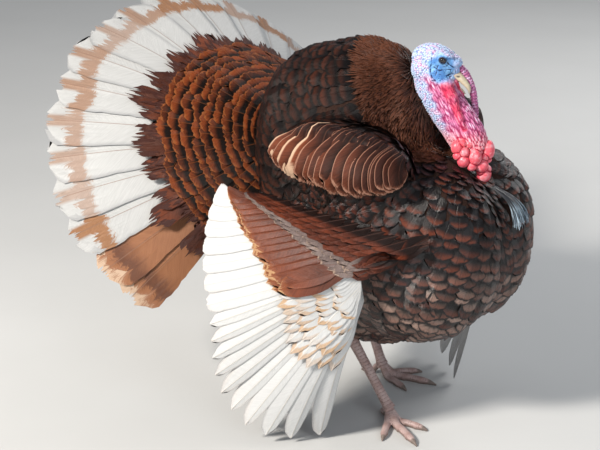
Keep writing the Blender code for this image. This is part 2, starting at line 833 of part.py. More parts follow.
def build():
    clear_scene()
    parts = new_collection("bourbon_red_turkey")
    cutters = new_collection("cutters")
    rust = material("rust_feather", (0.20, 0.055, 0.025), 0.55)
    dark = material("dark_feather", (0.09, 0.030, 0.020), 0.50)
    white = material("white_feather", (0.82, 0.80, 0.76), 0.60)
    bare = material("bare_skin", (0.62, 0.38, 0.46), 0.50)
    blue = material("blue_skin", (0.35, 0.50, 0.72), 0.50)
    red = material("red_skin", (0.75, 0.12, 0.14), 0.42)
    horn = material("horn", (0.80, 0.72, 0.55), 0.35)
    pupil = material("eye_dark", (0.03, 0.02, 0.015), 0.08)
    scale = material("leg_skin", (0.55, 0.42, 0.38), 0.60)
    bristle = material("bristle", (0.05, 0.05, 0.06), 0.65)

    torso = join("torso", [lobed_body("torso", parts)], dark)
    nape = join("nape", [tube("nape", parts, smooth_line(NAPE, 2))], rust)
    throat = make_throat(parts, bare)
    head = make_head(parts, blue)
    upper_bill, lower_bill = make_bill(parts, horn)
    eyes = make_eyes(parts, pupil)
    snood = make_snood(parts, red)
    wattles = make_wattles(parts, red)
    fan, tail_coverts = make_tail(parts, white, rust)
    beard = make_beard(parts, bristle)

    made = [torso, fan, tail_coverts, nape, throat, *eyes, head, upper_bill, lower_bill,
            snood, wattles, beard]
    for left in (False, True):
        flight, coverts, scapulars = make_wing(parts, left, white, rust)
        thigh, foot = make_leg(parts, left, dark, scale)
        made += [flight, coverts, scapulars, thigh, foot]
    settle(made, cutters)
    open_nostrils(upper_bill, cutters)
    bpy.data.collections.remove(cutters)
    centre_on_floor(made)


build()
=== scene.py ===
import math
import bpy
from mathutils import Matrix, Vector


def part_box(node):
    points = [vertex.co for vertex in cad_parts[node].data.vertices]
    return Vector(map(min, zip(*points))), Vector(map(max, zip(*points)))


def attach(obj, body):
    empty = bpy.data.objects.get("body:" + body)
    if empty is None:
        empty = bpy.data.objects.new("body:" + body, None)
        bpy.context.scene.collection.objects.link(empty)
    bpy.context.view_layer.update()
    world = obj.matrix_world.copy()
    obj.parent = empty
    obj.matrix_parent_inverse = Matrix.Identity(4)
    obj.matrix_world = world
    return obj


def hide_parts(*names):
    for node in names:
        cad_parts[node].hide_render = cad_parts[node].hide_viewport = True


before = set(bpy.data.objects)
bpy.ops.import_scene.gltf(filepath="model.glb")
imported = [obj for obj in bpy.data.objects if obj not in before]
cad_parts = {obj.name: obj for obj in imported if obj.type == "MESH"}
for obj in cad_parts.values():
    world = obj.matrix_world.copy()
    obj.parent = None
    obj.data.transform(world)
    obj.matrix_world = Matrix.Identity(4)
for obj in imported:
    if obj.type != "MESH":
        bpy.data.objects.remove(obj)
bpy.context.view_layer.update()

# A strutting bourbon red turkey: bare warty head, body feathers in rows, white
# flight and tail feathers.  Metres, +Z up, the bird heads along +X.

from types import SimpleNamespace

import bmesh
import bpy
import numpy as np
from mathutils import Matrix, Vector
from mathutils.bvhtree import BVHTree
from mathutils.kdtree import KDTree

# Sizes below are in the bird's own frame, whose origin is on the ground under the
# body.  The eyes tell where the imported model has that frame.  Rows of four are a
# place and a radius, rows of six a place and three radii.
SIDES = ("right", "left")
HEAD_POINT = np.array((0.074, 0.000, 0.665))
HEAD_YAW = math.radians(25.0)
HEAD_NOD = math.radians(16.0)
EYE_RADIUS = 0.0068
EYE_OUT = 0.0175

TAIL_ROOT = (-0.262, 0.0, 0.455)
TAIL_FEATHERS = 18
TAIL_SPREAD = math.radians(204.0)
TAIL_UP = (-0.56, -0.18, 0.81)
TAIL_FRONT = (0.82, -0.23, 0.52)
TAIL_SWEEP = math.radians(30.0)
TAIL_LENGTH = 0.425
TAIL_ROUND = 0.045
TAIL_START = 0.072

WRIST = np.array((0.046, -0.214, 0.350))
ELBOW = np.array((-0.140, -0.226, 0.435))
HAND_END = np.array((0.052, -0.206, 0.285))
WING_TIPS = np.array((
    (-0.030, -0.215, 0.010), (-0.064, -0.258, 0.011), (-0.098, -0.286, 0.018),
    (-0.132, -0.300, 0.035), (-0.158, -0.306, 0.060), (-0.173, -0.315, 0.092),
    (-0.180, -0.322, 0.127), (-0.182, -0.326, 0.160), (-0.183, -0.327, 0.192),
    (-0.186, -0.325, 0.222), (-0.196, -0.320, 0.254), (-0.208, -0.312, 0.286),
    (-0.218, -0.302, 0.317), (-0.225, -0.291, 0.347), (-0.229, -0.279, 0.376),
    (-0.229, -0.267, 0.404), (-0.225, -0.256, 0.430),
))
PRIMARIES = 10
WING_BULGE = 0.016
LEFT_FORWARD = 0.22
LEFT_TUCK = 0.27
LEFT_BACK = 0.030
LEFT_BACK_RISE = 0.09

COAT = 0.009
SHOULDER = np.array((-0.022, -0.150, 0.507))
SHOULDER_RADII = np.array((0.138, 0.070, 0.072))
# Turn and height of the first and last scapular feather, at their roots and tips.
SCAPULAR_ENDS = (((1.15, 1.20), (-0.55, 1.10)), ((1.05, -0.62), (-1.00, -0.48)))
SCAPULARS = 14

THROAT = np.array((
    (0.053, -0.008, 0.645, 0.032), (0.061, -0.006, 0.616, 0.035), (0.081, -0.004, 0.585, 0.035),
    (0.107, -0.002, 0.556, 0.035), (0.128, 0.0, 0.528, 0.034), (0.138, 0.0, 0.508, 0.027),
))
THROAT_SQUEEZE = 0.80
NECK_WAY = np.array((0.527, 0.050, -0.849))
DEWLAP = np.array((
    ((0.125, 0.004, 0.572), (0.143, 0.004, 0.542)),
    ((0.090, -0.020, 0.606), (0.118, -0.024, 0.548)),
    ((0.106, 0.022, 0.580), (0.122, 0.026, 0.546)),
))
RED_FOLD = np.array((
    (0.0900, -0.0170, 0.6330, 0.0080), (0.0950, -0.0185, 0.6210, 0.0150),
    (0.1030, -0.0200, 0.6060, 0.0130), (0.1105, -0.0210, 0.5930, 0.0095),
    (0.1205, -0.0225, 0.5740, 0.0085), (0.1320, -0.0230, 0.5540, 0.0060),
))
# The red fold of the far side lies nearer the middle.
FAR_FOLD = RED_FOLD * (1.0, -0.45, 1.0, 0.8) - (0.004, 0.0, 0.0, 0.0)
BULBS = np.array((
    (0.140, 0.002, 0.508, 0.020, 0.020, 0.018), (0.124, -0.032, 0.522, 0.011, 0.011, 0.013),
    (0.136, -0.030, 0.500, 0.011, 0.012, 0.012), (0.150, -0.018, 0.506, 0.013, 0.012, 0.015),
    (0.162, 0.008, 0.514, 0.011, 0.012, 0.018), (0.157, -0.006, 0.490, 0.013, 0.012, 0.013),
    (0.158, 0.003, 0.472, 0.013, 0.013, 0.015), (0.144, 0.026, 0.506, 0.012, 0.012, 0.015),
))
SMALL_BULBS = np.array((
    (0.127, -0.034, 0.509, 0.0090), (0.137, -0.030, 0.515, 0.0092),
    (0.131, -0.028, 0.530, 0.0078), (0.148, -0.023, 0.491, 0.0088),
    (0.151, -0.010, 0.520, 0.0080), (0.159, -0.001, 0.503, 0.0088),
    (0.153, 0.016, 0.518, 0.0090), (0.161, 0.008, 0.499, 0.0082),
    (0.156, -0.004, 0.479, 0.0090), (0.162, 0.005, 0.480, 0.0086),
    (0.130, 0.030, 0.516, 0.0100), (0.137, 0.029, 0.500, 0.0092),
    (0.140, -0.020, 0.528, 0.0072), (0.146, 0.010, 0.532, 0.0072),
))

# In the head's own axes, from the middle between the eyes.
SNOOD = (
    (0.020, 0.001, -0.003, 0.0050), (0.032, 0.004, -0.009, 0.0064), (0.045, 0.008, -0.019, 0.0068),
    (0.060, 0.009, -0.036, 0.0064), (0.072, 0.007, -0.056, 0.0058), (0.081, 0.004, -0.076, 0.0050),
    (0.085, 0.003, -0.088, 0.0032),
)
UPPER_BILL = (
    (0.014, 0.0004, -0.0205, 0.0075), (0.026, 0.0004, -0.0225, 0.0086),
    (0.036, 0.0004, -0.0265, 0.0080), (0.048, 0.0004, -0.0325, 0.0062),
    (0.056, 0.0, -0.0385, 0.0042), (0.0605, 0.0, -0.0465, 0.0012),
)
LOWER_BILL = (
    (0.010, 0.0004, -0.0345, 0.0072), (0.022, 0.0004, -0.0365, 0.0068),
    (0.034, 0.0002, -0.0400, 0.0056), (0.046, 0.0, -0.0440, 0.0040),
    (0.0545, 0.0, -0.0488, 0.0012),
)
# Middles and radii of the skull, cheeks, jaws and bill root, with the balls' meshing.
SKULL = (
    ((-0.012, 0.0, -0.011), (0.0405, 0.0215, 0.0305), 40, 24),
    ((-0.006, 0.0, -0.020), (0.026, 0.0205, 0.021), 32, 20),
    ((-0.024, 0.0, -0.026), (0.0245, 0.0205, 0.028), 32, 20),
    ((-0.010, 0.0, -0.048), (0.0235, 0.0215, 0.024), 32, 20),
    ((0.016, 0.0, -0.001), (0.0175, 0.0135, 0.0125), 32, 20),
    ((0.010, 0.0, -0.028), (0.022, 0.0145, 0.012), 24, 16),
    ((0.018, 0.0, -0.015), (0.0155, 0.0108, 0.0120), 24, 16),
)
FACE_LINES = (
    ((-0.0186, -0.0015), (-0.0166, -0.0148), (-0.0118, -0.0284), (-0.0011, -0.0363)),
    ((-0.0060, -0.0378), (0.0030, -0.0360), (0.0120, -0.0270), (0.0189, -0.0215), (0.0250, -0.0190)),
    ((0.0070, -0.0020), (0.0150, -0.0040), (0.0227, -0.0080)),
    ((-0.0100, -0.0150), (0.0010, -0.0175), (0.0100, -0.0150), (0.0180, -0.0125)),
    ((-0.0030, -0.0100), (-0.0045, -0.0190), (-0.0035, -0.0280)),
)
LINE_HALF = 0.0014

# Hock, ankle and heading of the right and the left leg.
LEGS = (
    ((-0.065, -0.076, 0.152), (0.030, -0.082, 0.026), math.radians(-32.0)),
    ((-0.135, 0.072, 0.160), (-0.085, 0.074, 0.026), math.radians(10.0)),
)
# Way from hock to ankle, and radius there.
SHANK = ((0.15, 0.0098), (0.55, 0.0084), (0.90, 0.0092), (1.0, 0.0118))
# Each toe's turn, length, radius and lift, and the way along, height and radius of its marks.
TOES = (
    (0.0, 0.098, 0.0076, 0.0), (math.radians(-34.0), 0.074, 0.0070, 0.0),
    (math.radians(34.0), 0.070, 0.0070, 0.0), (math.radians(172.0), 0.040, 0.0058, 0.012),
)
TOE_MARKS = ((0.28, 1.0, 1.0), (0.55, 1.0, 0.92), (0.86, 0.9, 0.85), (1.0, 0.8, 0.55), (1.14, 0.35, 0.18))
TOE_PADS = (0.34, 0.56, 0.78)

SKIN_VOXEL = 0.0055
BARE_VOXEL = 0.0013
TUFT_PATCH = 0.003
SHARP_RIM = math.radians(75.0)
UP = (0.0, 0.0, 1.0)
AHEAD = (1.0, 0.0, 0.0)


def middle_of(node):
    return np.mean(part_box(node), axis=0)


SHIFT = (middle_of("eye_right") + middle_of("eye_left")) / 2.0 - HEAD_POINT


def dice(name):
    return np.random.default_rng(sum(ord(letter) * (k + 3) for k, letter in enumerate(name)))


def unit(rows):
    size = np.linalg.norm(rows, axis=-1, keepdims=True)
    return rows / np.maximum(size, 1e-9)


def smoothstep(low, high, value):
    share = np.clip((value - low) / (high - low), 0.0, 1.0)
    return share * share * (3.0 - 2.0 * share)


def between(share, first, second):
    return first + (second - first) * share


def curve_through(shares, marks, values):
    """Smooth values at the shares, through the given marks."""
    marks = np.asarray(marks, float)
    values = np.asarray(values, float)
    slope = np.gradient(values, marks, axis=0)
    at = np.clip(np.searchsorted(marks, shares, side="right") - 1, 0, len(marks) - 2)
    gap = marks[at + 1] - marks[at]
    t = (shares - marks[at]) / gap
    if values.ndim > 1:
        gap, t = gap[:, None], t[:, None]
    return (
        values[at] * (2 * t ** 3 - 3 * t ** 2 + 1) + slope[at] * gap * (t ** 3 - 2 * t ** 2 + t)
        + values[at + 1] * (3 * t ** 2 - 2 * t ** 3) + slope[at + 1] * gap * (t ** 3 - t ** 2)
    )


def smooth_line(rows, count):
    """Points and radii on a smooth line through rows of four."""
    made = curve_through(np.linspace(0.0, len(rows) - 1.0, count), np.arange(len(rows)), rows)
    return made[:, :3], made[:, 3]


def run_along(line):
    return np.append(0.0, np.cumsum(np.linalg.norm(np.diff(line, axis=0), axis=1)))


def search_tree(spots):
    tree = KDTree(len(spots))
    for number, spot in enumerate(spots):
        tree.insert(spot, number)
    tree.balance()
    return tree


def near_points(spots, points):
    """Distance from each point to the nearest of the spots."""
    tree = search_tree(spots)
    return np.array([tree.find(point)[2] for point in points])


# Mesh pieces

def new_object(name, data):
    made = bpy.data.objects.new(name, data)
    bpy.context.scene.collection.objects.link(made)
    return made


def new_mesh(name, points, faces, materials=(), marks=None, bake=None, which=None):
    """Marks are values kept on the points: one, three or four each."""
    points = np.asarray(points, np.float32) + SHIFT.astype(np.float32)
    faces = np.asarray(faces, np.int32)
    mesh = bpy.data.meshes.new(name)
    mesh.vertices.add(len(points))
    mesh.vertices.foreach_set("co", points.ravel())
    mesh.loops.add(faces.size)
    mesh.loops.foreach_set("vertex_index", faces.ravel())
    mesh.polygons.add(len(faces))
    mesh.polygons.foreach_set("loop_start", np.arange(0, faces.size, 3, dtype=np.int32))
    mesh.polygons.foreach_set("use_smooth", np.ones(len(faces), bool))
    for item in materials:
        mesh.materials.append(item)
    if which is not None:
        mesh.polygons.foreach_set("material_index", np.asarray(which, np.int32))
    for mark, values in (marks or {}).items():
        values = np.asarray(values, np.float32)
        if values.ndim == 1:
            values = np.repeat(values[:, None], 3, 1)
        kind, key = ("FLOAT_COLOR", "color") if values.shape[1] == 4 else ("FLOAT_VECTOR", "vector")
        mesh.attributes.new(mark, kind, "POINT").data.foreach_set(key, values.ravel())
    if bake is not None:
        layer = mesh.uv_layers.new(name="OFBake")
        layer.data.foreach_set("uv", np.asarray(bake, np.float32)[faces.ravel()].ravel())
    mesh.update(calc_edges=True)
    mesh.validate()
    return mesh


def piece(name, mesh, slot, *nodes):
    made = new_object(name, mesh)
    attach(made, "root")
    if nodes:
        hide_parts(*nodes)


def form(name, points, faces, material, marks, slot, node):
    piece(name, new_mesh(name, points, faces, (material,), marks), slot, node)


def mesh_arrays(mesh):
    points = np.empty(len(mesh.vertices) * 3, np.float32)
    mesh.vertices.foreach_get("co", points)
    mesh.calc_loop_triangles()
    faces = np.empty(len(mesh.loop_triangles) * 3, np.int32)
    mesh.loop_triangles.foreach_get("vertices", faces)
    return points.reshape(-1, 3).astype(float) - SHIFT, faces.reshape(-1, 3)


def node_arrays(node):
    return mesh_arrays(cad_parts[node].data)


def fused(sources, voxel, smooth, inset=0.0):
    """One even surface round several closed meshes, drawn in by inset."""
    points = np.concatenate([part[0] for part in sources])
    starts = np.cumsum([0] + [len(part[0]) for part in sources[:-1]])
    faces = np.concatenate([part[1] + start for part, start in zip(sources, starts)])
    holder = new_object("fused", new_mesh("fused", points, faces))
    change = holder.modifiers.new("even", "REMESH")
    change.mode = "VOXEL"
    change.voxel_size = voxel
    change = holder.modifiers.new("soft", "SMOOTH")
    change.factor = 0.5
    change.iterations = smooth
    if inset:
        change = holder.modifiers.new("inset", "DISPLACE")
        change.mid_level = 0.0
        change.strength = -inset
    graph = bpy.context.evaluated_depsgraph_get()
    mesh = bpy.data.meshes.new_from_object(holder.evaluated_get(graph))
    bpy.data.objects.remove(holder)
    made = mesh_arrays(mesh)
    bpy.data.meshes.remove(mesh)
    return made


def point_normals(points, faces):
    a, b, c = (points[faces[:, k]] for k in range(3))
    normals = np.zeros_like(points)
    for k in range(3):
        np.add.at(normals, faces[:, k], np.cross(b - a, c - a))
    return unit(normals)


def ball(centre, radii, turn=np.eye(3), around=20, rings=14):
    """Points and faces of a closed ellipsoid."""
    made = bpy.data.meshes.new("ball")
    shape = bmesh.new()
    bmesh.ops.create_uvsphere(shape, u_segments=around, v_segments=rings, radius=1.0)
    bmesh.ops.triangulate(shape, faces=shape.faces)
    shape.to_mesh(made)
    shape.free()
    points, faces = mesh_arrays(made)
    bpy.data.meshes.remove(made)
    # Blender's order of the triangles changes from run to run.
    faces = faces[np.lexsort(faces.T)]
    return ((points + SHIFT) * radii) @ turn.T + centre, faces


def tube(line, radii, around, up):
    """Points and faces of a closed tube along a line of points."""
    ways = unit(np.gradient(line, axis=0))
    side = unit(np.cross(ways, up))
    lift = np.cross(side, ways)
    turn = np.linspace(0.0, 2.0 * math.pi, around, endpoint=False)[:, None]
    ring = side[:, None] * np.cos(turn) + lift[:, None] * np.sin(turn)
    points = (line[:, None] + ring * radii[:, None, None]).reshape(-1, 3)
    top = len(points)
    a = np.arange(top - around).reshape(-1, around)
    b = np.roll(a, -1, axis=1)
    walls = np.stack([a, b, b + around, a, b + around, a + around], 2).reshape(-1, 3)
    a, b = a[0], b[0]
    last = top - around
    ends = np.stack([b, a, 0 * a + top, a + last, b + last, 0 * a + top + 1], 1).reshape(-1, 3)
    return np.concatenate([points, line[:1], line[-1:]]), np.concatenate([walls, ends])


# Feather vanes

def vane_faces(rows, columns):
    """Faces of one closed vane: an upper sheet and an under sheet with one rim."""
    upper = np.arange(rows * columns).reshape(rows, columns)
    under = upper.copy()
    total = upper.size + (rows - 2) * (columns - 2)
    under[1:-1, 1:-1] = np.arange(upper.size, total).reshape(rows - 2, columns - 2)
    made = []
    for sheet, order in ((upper, 1), (under, -1)):
        a, b = sheet[:-1, :-1].ravel(), sheet[:-1, 1:].ravel()
        c, d = sheet[1:, 1:].ravel(), sheet[1:, :-1].ravel()
        made += [np.stack(three[::order], 1) for three in ((a, b, c), (a, c, d))]
    return np.concatenate(made), total


def vanes(spine, side, out, half, columns, seed, zone=0.0, camber=0.25, fray=0.0, thick=0.0004,
          ridge=0.0005, split=0.0, bow=0.0):
    """Closed vanes.  spine, side and out are (vanes, rows, 3); half fits (vanes, rows), or
    (vanes, rows, 2) for unlike sides.  Returns points, faces, two sets of marks on the
    points and the number of points of a vane."""
    count, rows = spine.shape[:2]
    roll = dice(seed)
    cross = np.linspace(-1.0, 1.0, columns)
    share = np.linspace(0.0, 1.0, rows)[:, None]
    if half.ndim < 3:
        half = np.broadcast_to(half, (count, rows))[..., None]
    width = np.where(cross < 0, half[..., :1], half[..., -1:]) * cross
    length = np.linalg.norm(np.diff(spine, axis=1), axis=2).sum(1)[:, None, None]
    along = unit(np.gradient(spine, axis=1))
    pull = np.zeros((count, rows, columns))
    if fray:
        teeth = roll.random((count, 1, columns)) * (1.0 + (np.arange(columns) % 2))
        pull -= fray * length * teeth * smoothstep(0.55, 1.0, share) ** 2
    if bow:
        pull -= bow * length * cross ** 2 * smoothstep(0.5, 1.0, share)
    if split:
        notch = roll.random((count, rows, 1)) ** 3 * (np.arange(rows) % 2)[:, None]
        width = width * (1.0 - split * notch * np.abs(cross) ** 4)
    lift = ridge * (np.abs(cross) < 0.01) - camber * np.abs(width) * np.abs(cross)
    points = (
        spine[:, :, None] + side[:, :, None] * width[..., None]
        + out[:, :, None] * lift[..., None] + along[:, :, None] * pull[..., None]
    )
    low = points[:, 1:-1, 1:-1] - out[:, 1:-1, None] * thick
    points = np.concatenate([points.reshape(count, -1, 3), low.reshape(count, -1, 3)], axis=1)

    def spread(values):
        values = np.broadcast_to(values, (count, rows, columns))
        inner = values[:, 1:-1, 1:-1].reshape(count, -1)
        return np.concatenate([values.reshape(count, -1), inner], axis=1).ravel()

    chance = spread(roll.random(count)[:, None, None])
    zone = spread(np.reshape(zone, (-1, 1, 1)))
    marks = np.stack([spread(share), spread(cross) * 0.5 + 0.5, chance, zone], 1)
    barb = np.stack([spread(width), spread(share * length), chance], 1)
    faces, each = vane_faces(rows, columns)
    faces = faces + (np.arange(count) * each)[:, None, None]
    return points.reshape(-1, 3), faces.reshape(-1, 3), marks, barb, each


def coat_piece(name, parts, slot, material, places, nodes=(), strip=0.0):
    """parts come from vanes(); places gives each vane's root on the coat's own map, and
    strip is the width there of a long feather that takes a whole strip of it."""
    points, faces, marks, barb, each = parts
    bake = np.repeat(places, each, axis=0)
    bake[:, 0] += (marks[:, 1] - 0.5) * (strip or TUFT_PATCH)
    bake[:, 1] = 0.02 + 0.96 * marks[:, 0] if strip else bake[:, 1] + (marks[:, 0] - 0.5) * TUFT_PATCH
    mesh = new_mesh(name, points, faces, [material], {"vane": marks, "barb": barb}, bake)
    mesh.set_sharp_from_angle(angle=SHARP_RIM)
    piece(name, mesh, slot, *nodes)


def feather_half(rows, kind):
    """Half width along a feather, as a share of its widest."""
    share = np.linspace(0.0, 1.0, rows)
    if kind == "lance":
        return np.sin(math.pi * (share * 0.86 + 0.12)) ** 0.8 * 0.95 + 0.05
    if kind == "round":
        body = 0.30 + 0.70 * smoothstep(0.0, 0.55, share)
        return body * np.sqrt(1.0 - np.clip((share - 0.55) / 0.45, 0.0, 1.0) ** 2) * 0.96 + 0.04
    body = 0.30 + 0.70 * smoothstep(0.0, 0.6, share)
    return body * (1.0 - 0.34 * np.clip((share - 0.85) / 0.15, 0.0, 1.0) ** 2)


# Rows of feathers over the skin

def skin_distance(points, faces, start, rounds=260):
    """Distance over the skin from the start points, spread triangle by triangle."""
    far = np.full(len(points), 9.0)
    far[start] = 0.0
    ia, ib, ic = np.concatenate([faces, faces[:, [1, 2, 0]], faces[:, [2, 0, 1]]]).T
    a = points[ia] - points[ic]
    b = points[ib] - points[ic]
    aa, bb, ab = (a * a).sum(1), (b * b).sum(1), (a * b).sum(1)
    det = np.maximum(aa * bb - ab * ab, 1e-16)
    q11, q22, q12 = bb / det, aa / det, -ab / det
    la, lb = np.sqrt(aa), np.sqrt(bb)
    k2 = q11 + q22 + 2.0 * q12
    for _ in range(rounds):
        ta, tb = far[ia], far[ib]
        k1 = (q11 + q12) * ta + (q12 + q22) * tb
        k0 = q11 * ta * ta + 2.0 * q12 * ta * tb + q22 * tb * tb - 1.0
        root = k1 * k1 - k2 * k0
        t = (k1 + np.sqrt(np.maximum(root, 0.0))) / k2
        ga = q11 * (ta - t) + q12 * (tb - t)
        gb = q12 * (ta - t) + q22 * (tb - t)
        inside = (root > 0.0) & (ga < 0.0) & (gb < 0.0)
        new = far.copy()
        np.minimum.at(new, ic, np.where(inside, t, np.minimum(ta + la, tb + lb)))
        if np.abs(new - far).max() < 1e-6:
            break
        far = new
    return far


def neighbours_mean(values, faces, rounds):
    pairs = np.concatenate([faces[:, [0, 1]], faces[:, [1, 2]], faces[:, [2, 0]]])
    for _ in range(rounds):
        total = np.zeros_like(values)
        count = np.zeros(len(values))
        for i, j in ((0, 1), (1, 0)):
            np.add.at(total, pairs[:, i], values[pairs[:, j]])
            np.add.at(count, pairs[:, i], 1.0)
        mean = total / (count if values.ndim == 1 else count[:, None])
        values = 0.5 * values + 0.5 * mean
    return values


def surface_slope(points, faces, field):
    a, b, c = (points[faces[:, k]] for k in range(3))
    normal = np.cross(b - a, c - a)
    area = np.maximum((normal ** 2).sum(1), 1e-18)[:, None]
    fa, fb, fc = (field[faces[:, k]][:, None] for k in range(3))
    slope = np.cross(normal, fa * (c - b) + fb * (a - c) + fc * (b - a)) / area
    made = np.zeros_like(points)
    for k in range(3):
        np.add.at(made, faces[:, k], slope)
    return unit(made)


def level_rows(faces, field, level):
    """Lines of equal field, each an array of (corner, corner, share) steps."""
    value = field - level
    up = value[faces] > 0.0
    links = {}
    for tri in faces[up.any(1) & ~up.all(1)]:
        keys = []
        for i, j in ((0, 1), (1, 2), (2, 0)):
            p, q = int(tri[i]), int(tri[j])
            if (value[p] > 0.0) != (value[q] > 0.0):
                keys.append((min(p, q), max(p, q)))
        links.setdefault(keys[0], []).append(keys[1])
        links.setdefault(keys[1], []).append(keys[0])
    lines = []
    while links:
        start = min(links)
        line = [start]
        key = start
        while key in links and links[key]:
            after = links[key].pop()
            if after in links and key in links[after]:
                links[after].remove(key)
            if not links[key]:
                del links[key]
            line.append(after)
            key = after
        links.pop(start, None)
        if len(line) > 6:
            p, q = np.array(line).T
            lines.append(np.stack([p, q, value[p] / (value[p] - value[q])], 1))
    return lines


def rows_of_roots(skin, field, levels, gaps, seed):
    """Root, normal and way of feathers in rows, brickwise; gaps is the spacing in each."""
    points, faces, normals, ways = skin
    roll = dice(seed)
    found = []
    for number, (level, gap) in enumerate(zip(levels, gaps)):
        for line in level_rows(faces, field, level):
            p, q = line[:, 0].astype(int), line[:, 1].astype(int)
            share = line[:, 2:]
            spots = points[p] * (1.0 - share) + points[q] * share
            run = run_along(spots) / gap
            marks = np.arange(0.5 * (number % 2) + 0.25, run[-1], 1.0)
            marks = marks + roll.uniform(-0.12, 0.12, len(marks))
            values = np.concatenate([spots, normals[p], ways[p]], axis=1)
            found.append(np.stack([np.interp(marks, run, column) for column in values.T], 1))
    spots, normals, ways = np.split(np.concatenate(found), 3, axis=1)
    return np.concatenate([spots, unit(normals), unit(ways)], axis=1)


def filled(skin, roots, gap, allowed):
    """More roots where the rows leave the skin bare for more than its gap."""
    points, _, normals, ways = skin
    spare = np.nonzero(allowed)[0]
    away = near_points(roots[:, :3], points[spare]) - gap[spare]
    spare, away = spare[away > 0.0], away[away > 0.0]
    added = []
    while len(spare):
        pick = spare[away.argmax()]
        added.append(np.concatenate([points[pick], normals[pick], ways[pick]]))
        near = np.linalg.norm(points[spare] - points[pick], axis=1) - gap[spare]
        away = np.minimum(away, near)
        spare, away = spare[away > 0.0], away[away > 0.0]
    return np.concatenate([roots, added])


def lay_over(tree, roots, ways, lengths, rows, low, high, curl):
    """Carries each spine over the skin; heights run from low at the root to high."""
    spine = np.zeros((len(roots), rows, 3))
    out = np.zeros_like(spine)
    for n, (spot, way) in enumerate(zip(roots, ways)):
        spot, way = Vector(spot), Vector(way)
        step = lengths[n] / (rows - 1)
        last = None
        for k in range(rows):
            near, normal, _, _ = tree.find_nearest(spot)
            if last is not None:
                normal = (normal + last * 1.5).normalized()
            last = normal
            way = (way - normal * way.dot(normal)).normalized()
            spine[n, k] = near
            out[n, k] = normal
            spot = near + way * step
    share = np.linspace(0.0, 1.0, rows)
    lift = low + (high - low)[:, None] * (share + curl * share ** 3) / (1.0 + curl)
    return spine + out * lift[..., None], out


def across(spine, out, angle):
    """Side and out of vanes along their spines, rolled by an angle."""
    along = unit(np.gradient(spine, axis=1))
    side = unit(np.cross(out, along))
    out = unit(np.cross(along, side))
    angle = angle.reshape(len(side), -1, 1)
    return side * np.cos(angle) + out * np.sin(angle), out * np.cos(angle) - side * np.sin(angle)


# Materials

class Value:
    """An output in a material's nodes.  Its sums and products are nodes too."""

    def __init__(self, tree, socket):
        self.tree = tree
        self.socket = socket

    def math(self, operation, *others):
        return add(self.tree, "Math", dict(enumerate((self, *others))), operation=operation)

    def __add__(self, other):
        return self.math("ADD", other)

    def __sub__(self, other):
        return self.math("SUBTRACT", other)

    def __rsub__(self, other):
        return self.math("MULTIPLY_ADD", -1.0, other)

    def __mul__(self, other):
        return self.math("MULTIPLY", other)

    def __abs__(self):
        return self.math("ABSOLUTE")


def feed(socket, value):
    if isinstance(value, Value):
        value.tree.links.new(value.socket, socket)
    elif socket.type == "RGBA":
        socket.default_value = (*value, 1.0)
    else:
        socket.default_value = value


def add(tree, kind, inputs, out=0, **settings):
    made = tree.nodes.new("ShaderNode" + kind)
    for key, value in settings.items():
        setattr(made, key, value)
    for key, value in inputs.items():
        feed(made.inputs[key], value)
    return Value(tree, made.outputs[out])


def blend(share, first, second):
    return add(share.tree, "Mix", {0: share, 6: first, 7: second}, 2, data_type="RGBA")


def dimmed(tone, value):
    grey = add(tone.tree, "CombineColor", {0: value, 1: value, 2: value})
    return add(tone.tree, "Mix", {0: 1.0, 6: tone, 7: grey}, 2, data_type="RGBA", blend_type="MULTIPLY")


def ramp(value, low, high):
    return add(value.tree, "MapRange", {0: value, 1: low, 2: high}, interpolation_type="SMOOTHSTEP")


def noise(where, scale, detail=3.0, rough=0.5):
    inputs = {"Vector": where, "Scale": scale, "Detail": detail, "Roughness": rough}
    return add(where.tree, "TexNoise", inputs)


def marked(tree, name):
    """The marks of that name as four values."""
    mark = add(tree, "Attribute", {}, attribute_name=name).socket.node
    parts = add(tree, "SeparateColor", {0: Value(tree, mark.outputs["Color"])}).socket.node.outputs
    return [Value(tree, socket) for socket in (*parts, mark.outputs["Alpha"])]


def start_material(name, roughness, **values):
    made = bpy.data.materials.new(name)
    made.use_nodes = True
    inputs = made.node_tree.nodes["Principled BSDF"].inputs
    inputs["Roughness"].default_value = roughness
    for key, value in values.items():
        inputs[key.replace("_", " ")].default_value = value
    return made, made.node_tree, add(made.node_tree, "TexCoord", {}, 3)


def finish(made, tone, height=None, distance=0.0, strength=1.0):
    """Gives a material its colour and its relief."""
    inputs = made.node_tree.nodes["Principled BSDF"].inputs
    feed(inputs["Base Color"], tone)
    if height:
        relief = {"Height": height, "Distance": distance, "Strength": strength}
        feed(inputs["Normal"], add(made.node_tree, "Bump", relief))
    return made


def vane_marks(tree):
    """Share along, distance from the shaft, chance and zone on a vane, metres from its
    shaft, the streaks of its barbs, its shaft and its relief."""
    s, way, chance, zone = marked(tree, "vane")
    x, y, _, _ = marked(tree, "barb")
    x = abs(x)
    lag = x * -1.1 + y
    streak = noise(add(tree, "CombineXYZ", {0: lag * 420.0, 1: x * 45.0, 2: chance * 40.0}), 1.0, 4.0, 0.62)
    shaft = 1.0 - ramp(x, 0.0003, 0.0012)
    relief = (lag * 6600.0).math("SINE") * 0.18 + streak + shaft * 0.8
    return SimpleNamespace(s=s, w=abs(way * 2.0 - 1.0), chance=chance, zone=zone, x=x, streak=streak,
                           shaft=shaft, relief=relief)


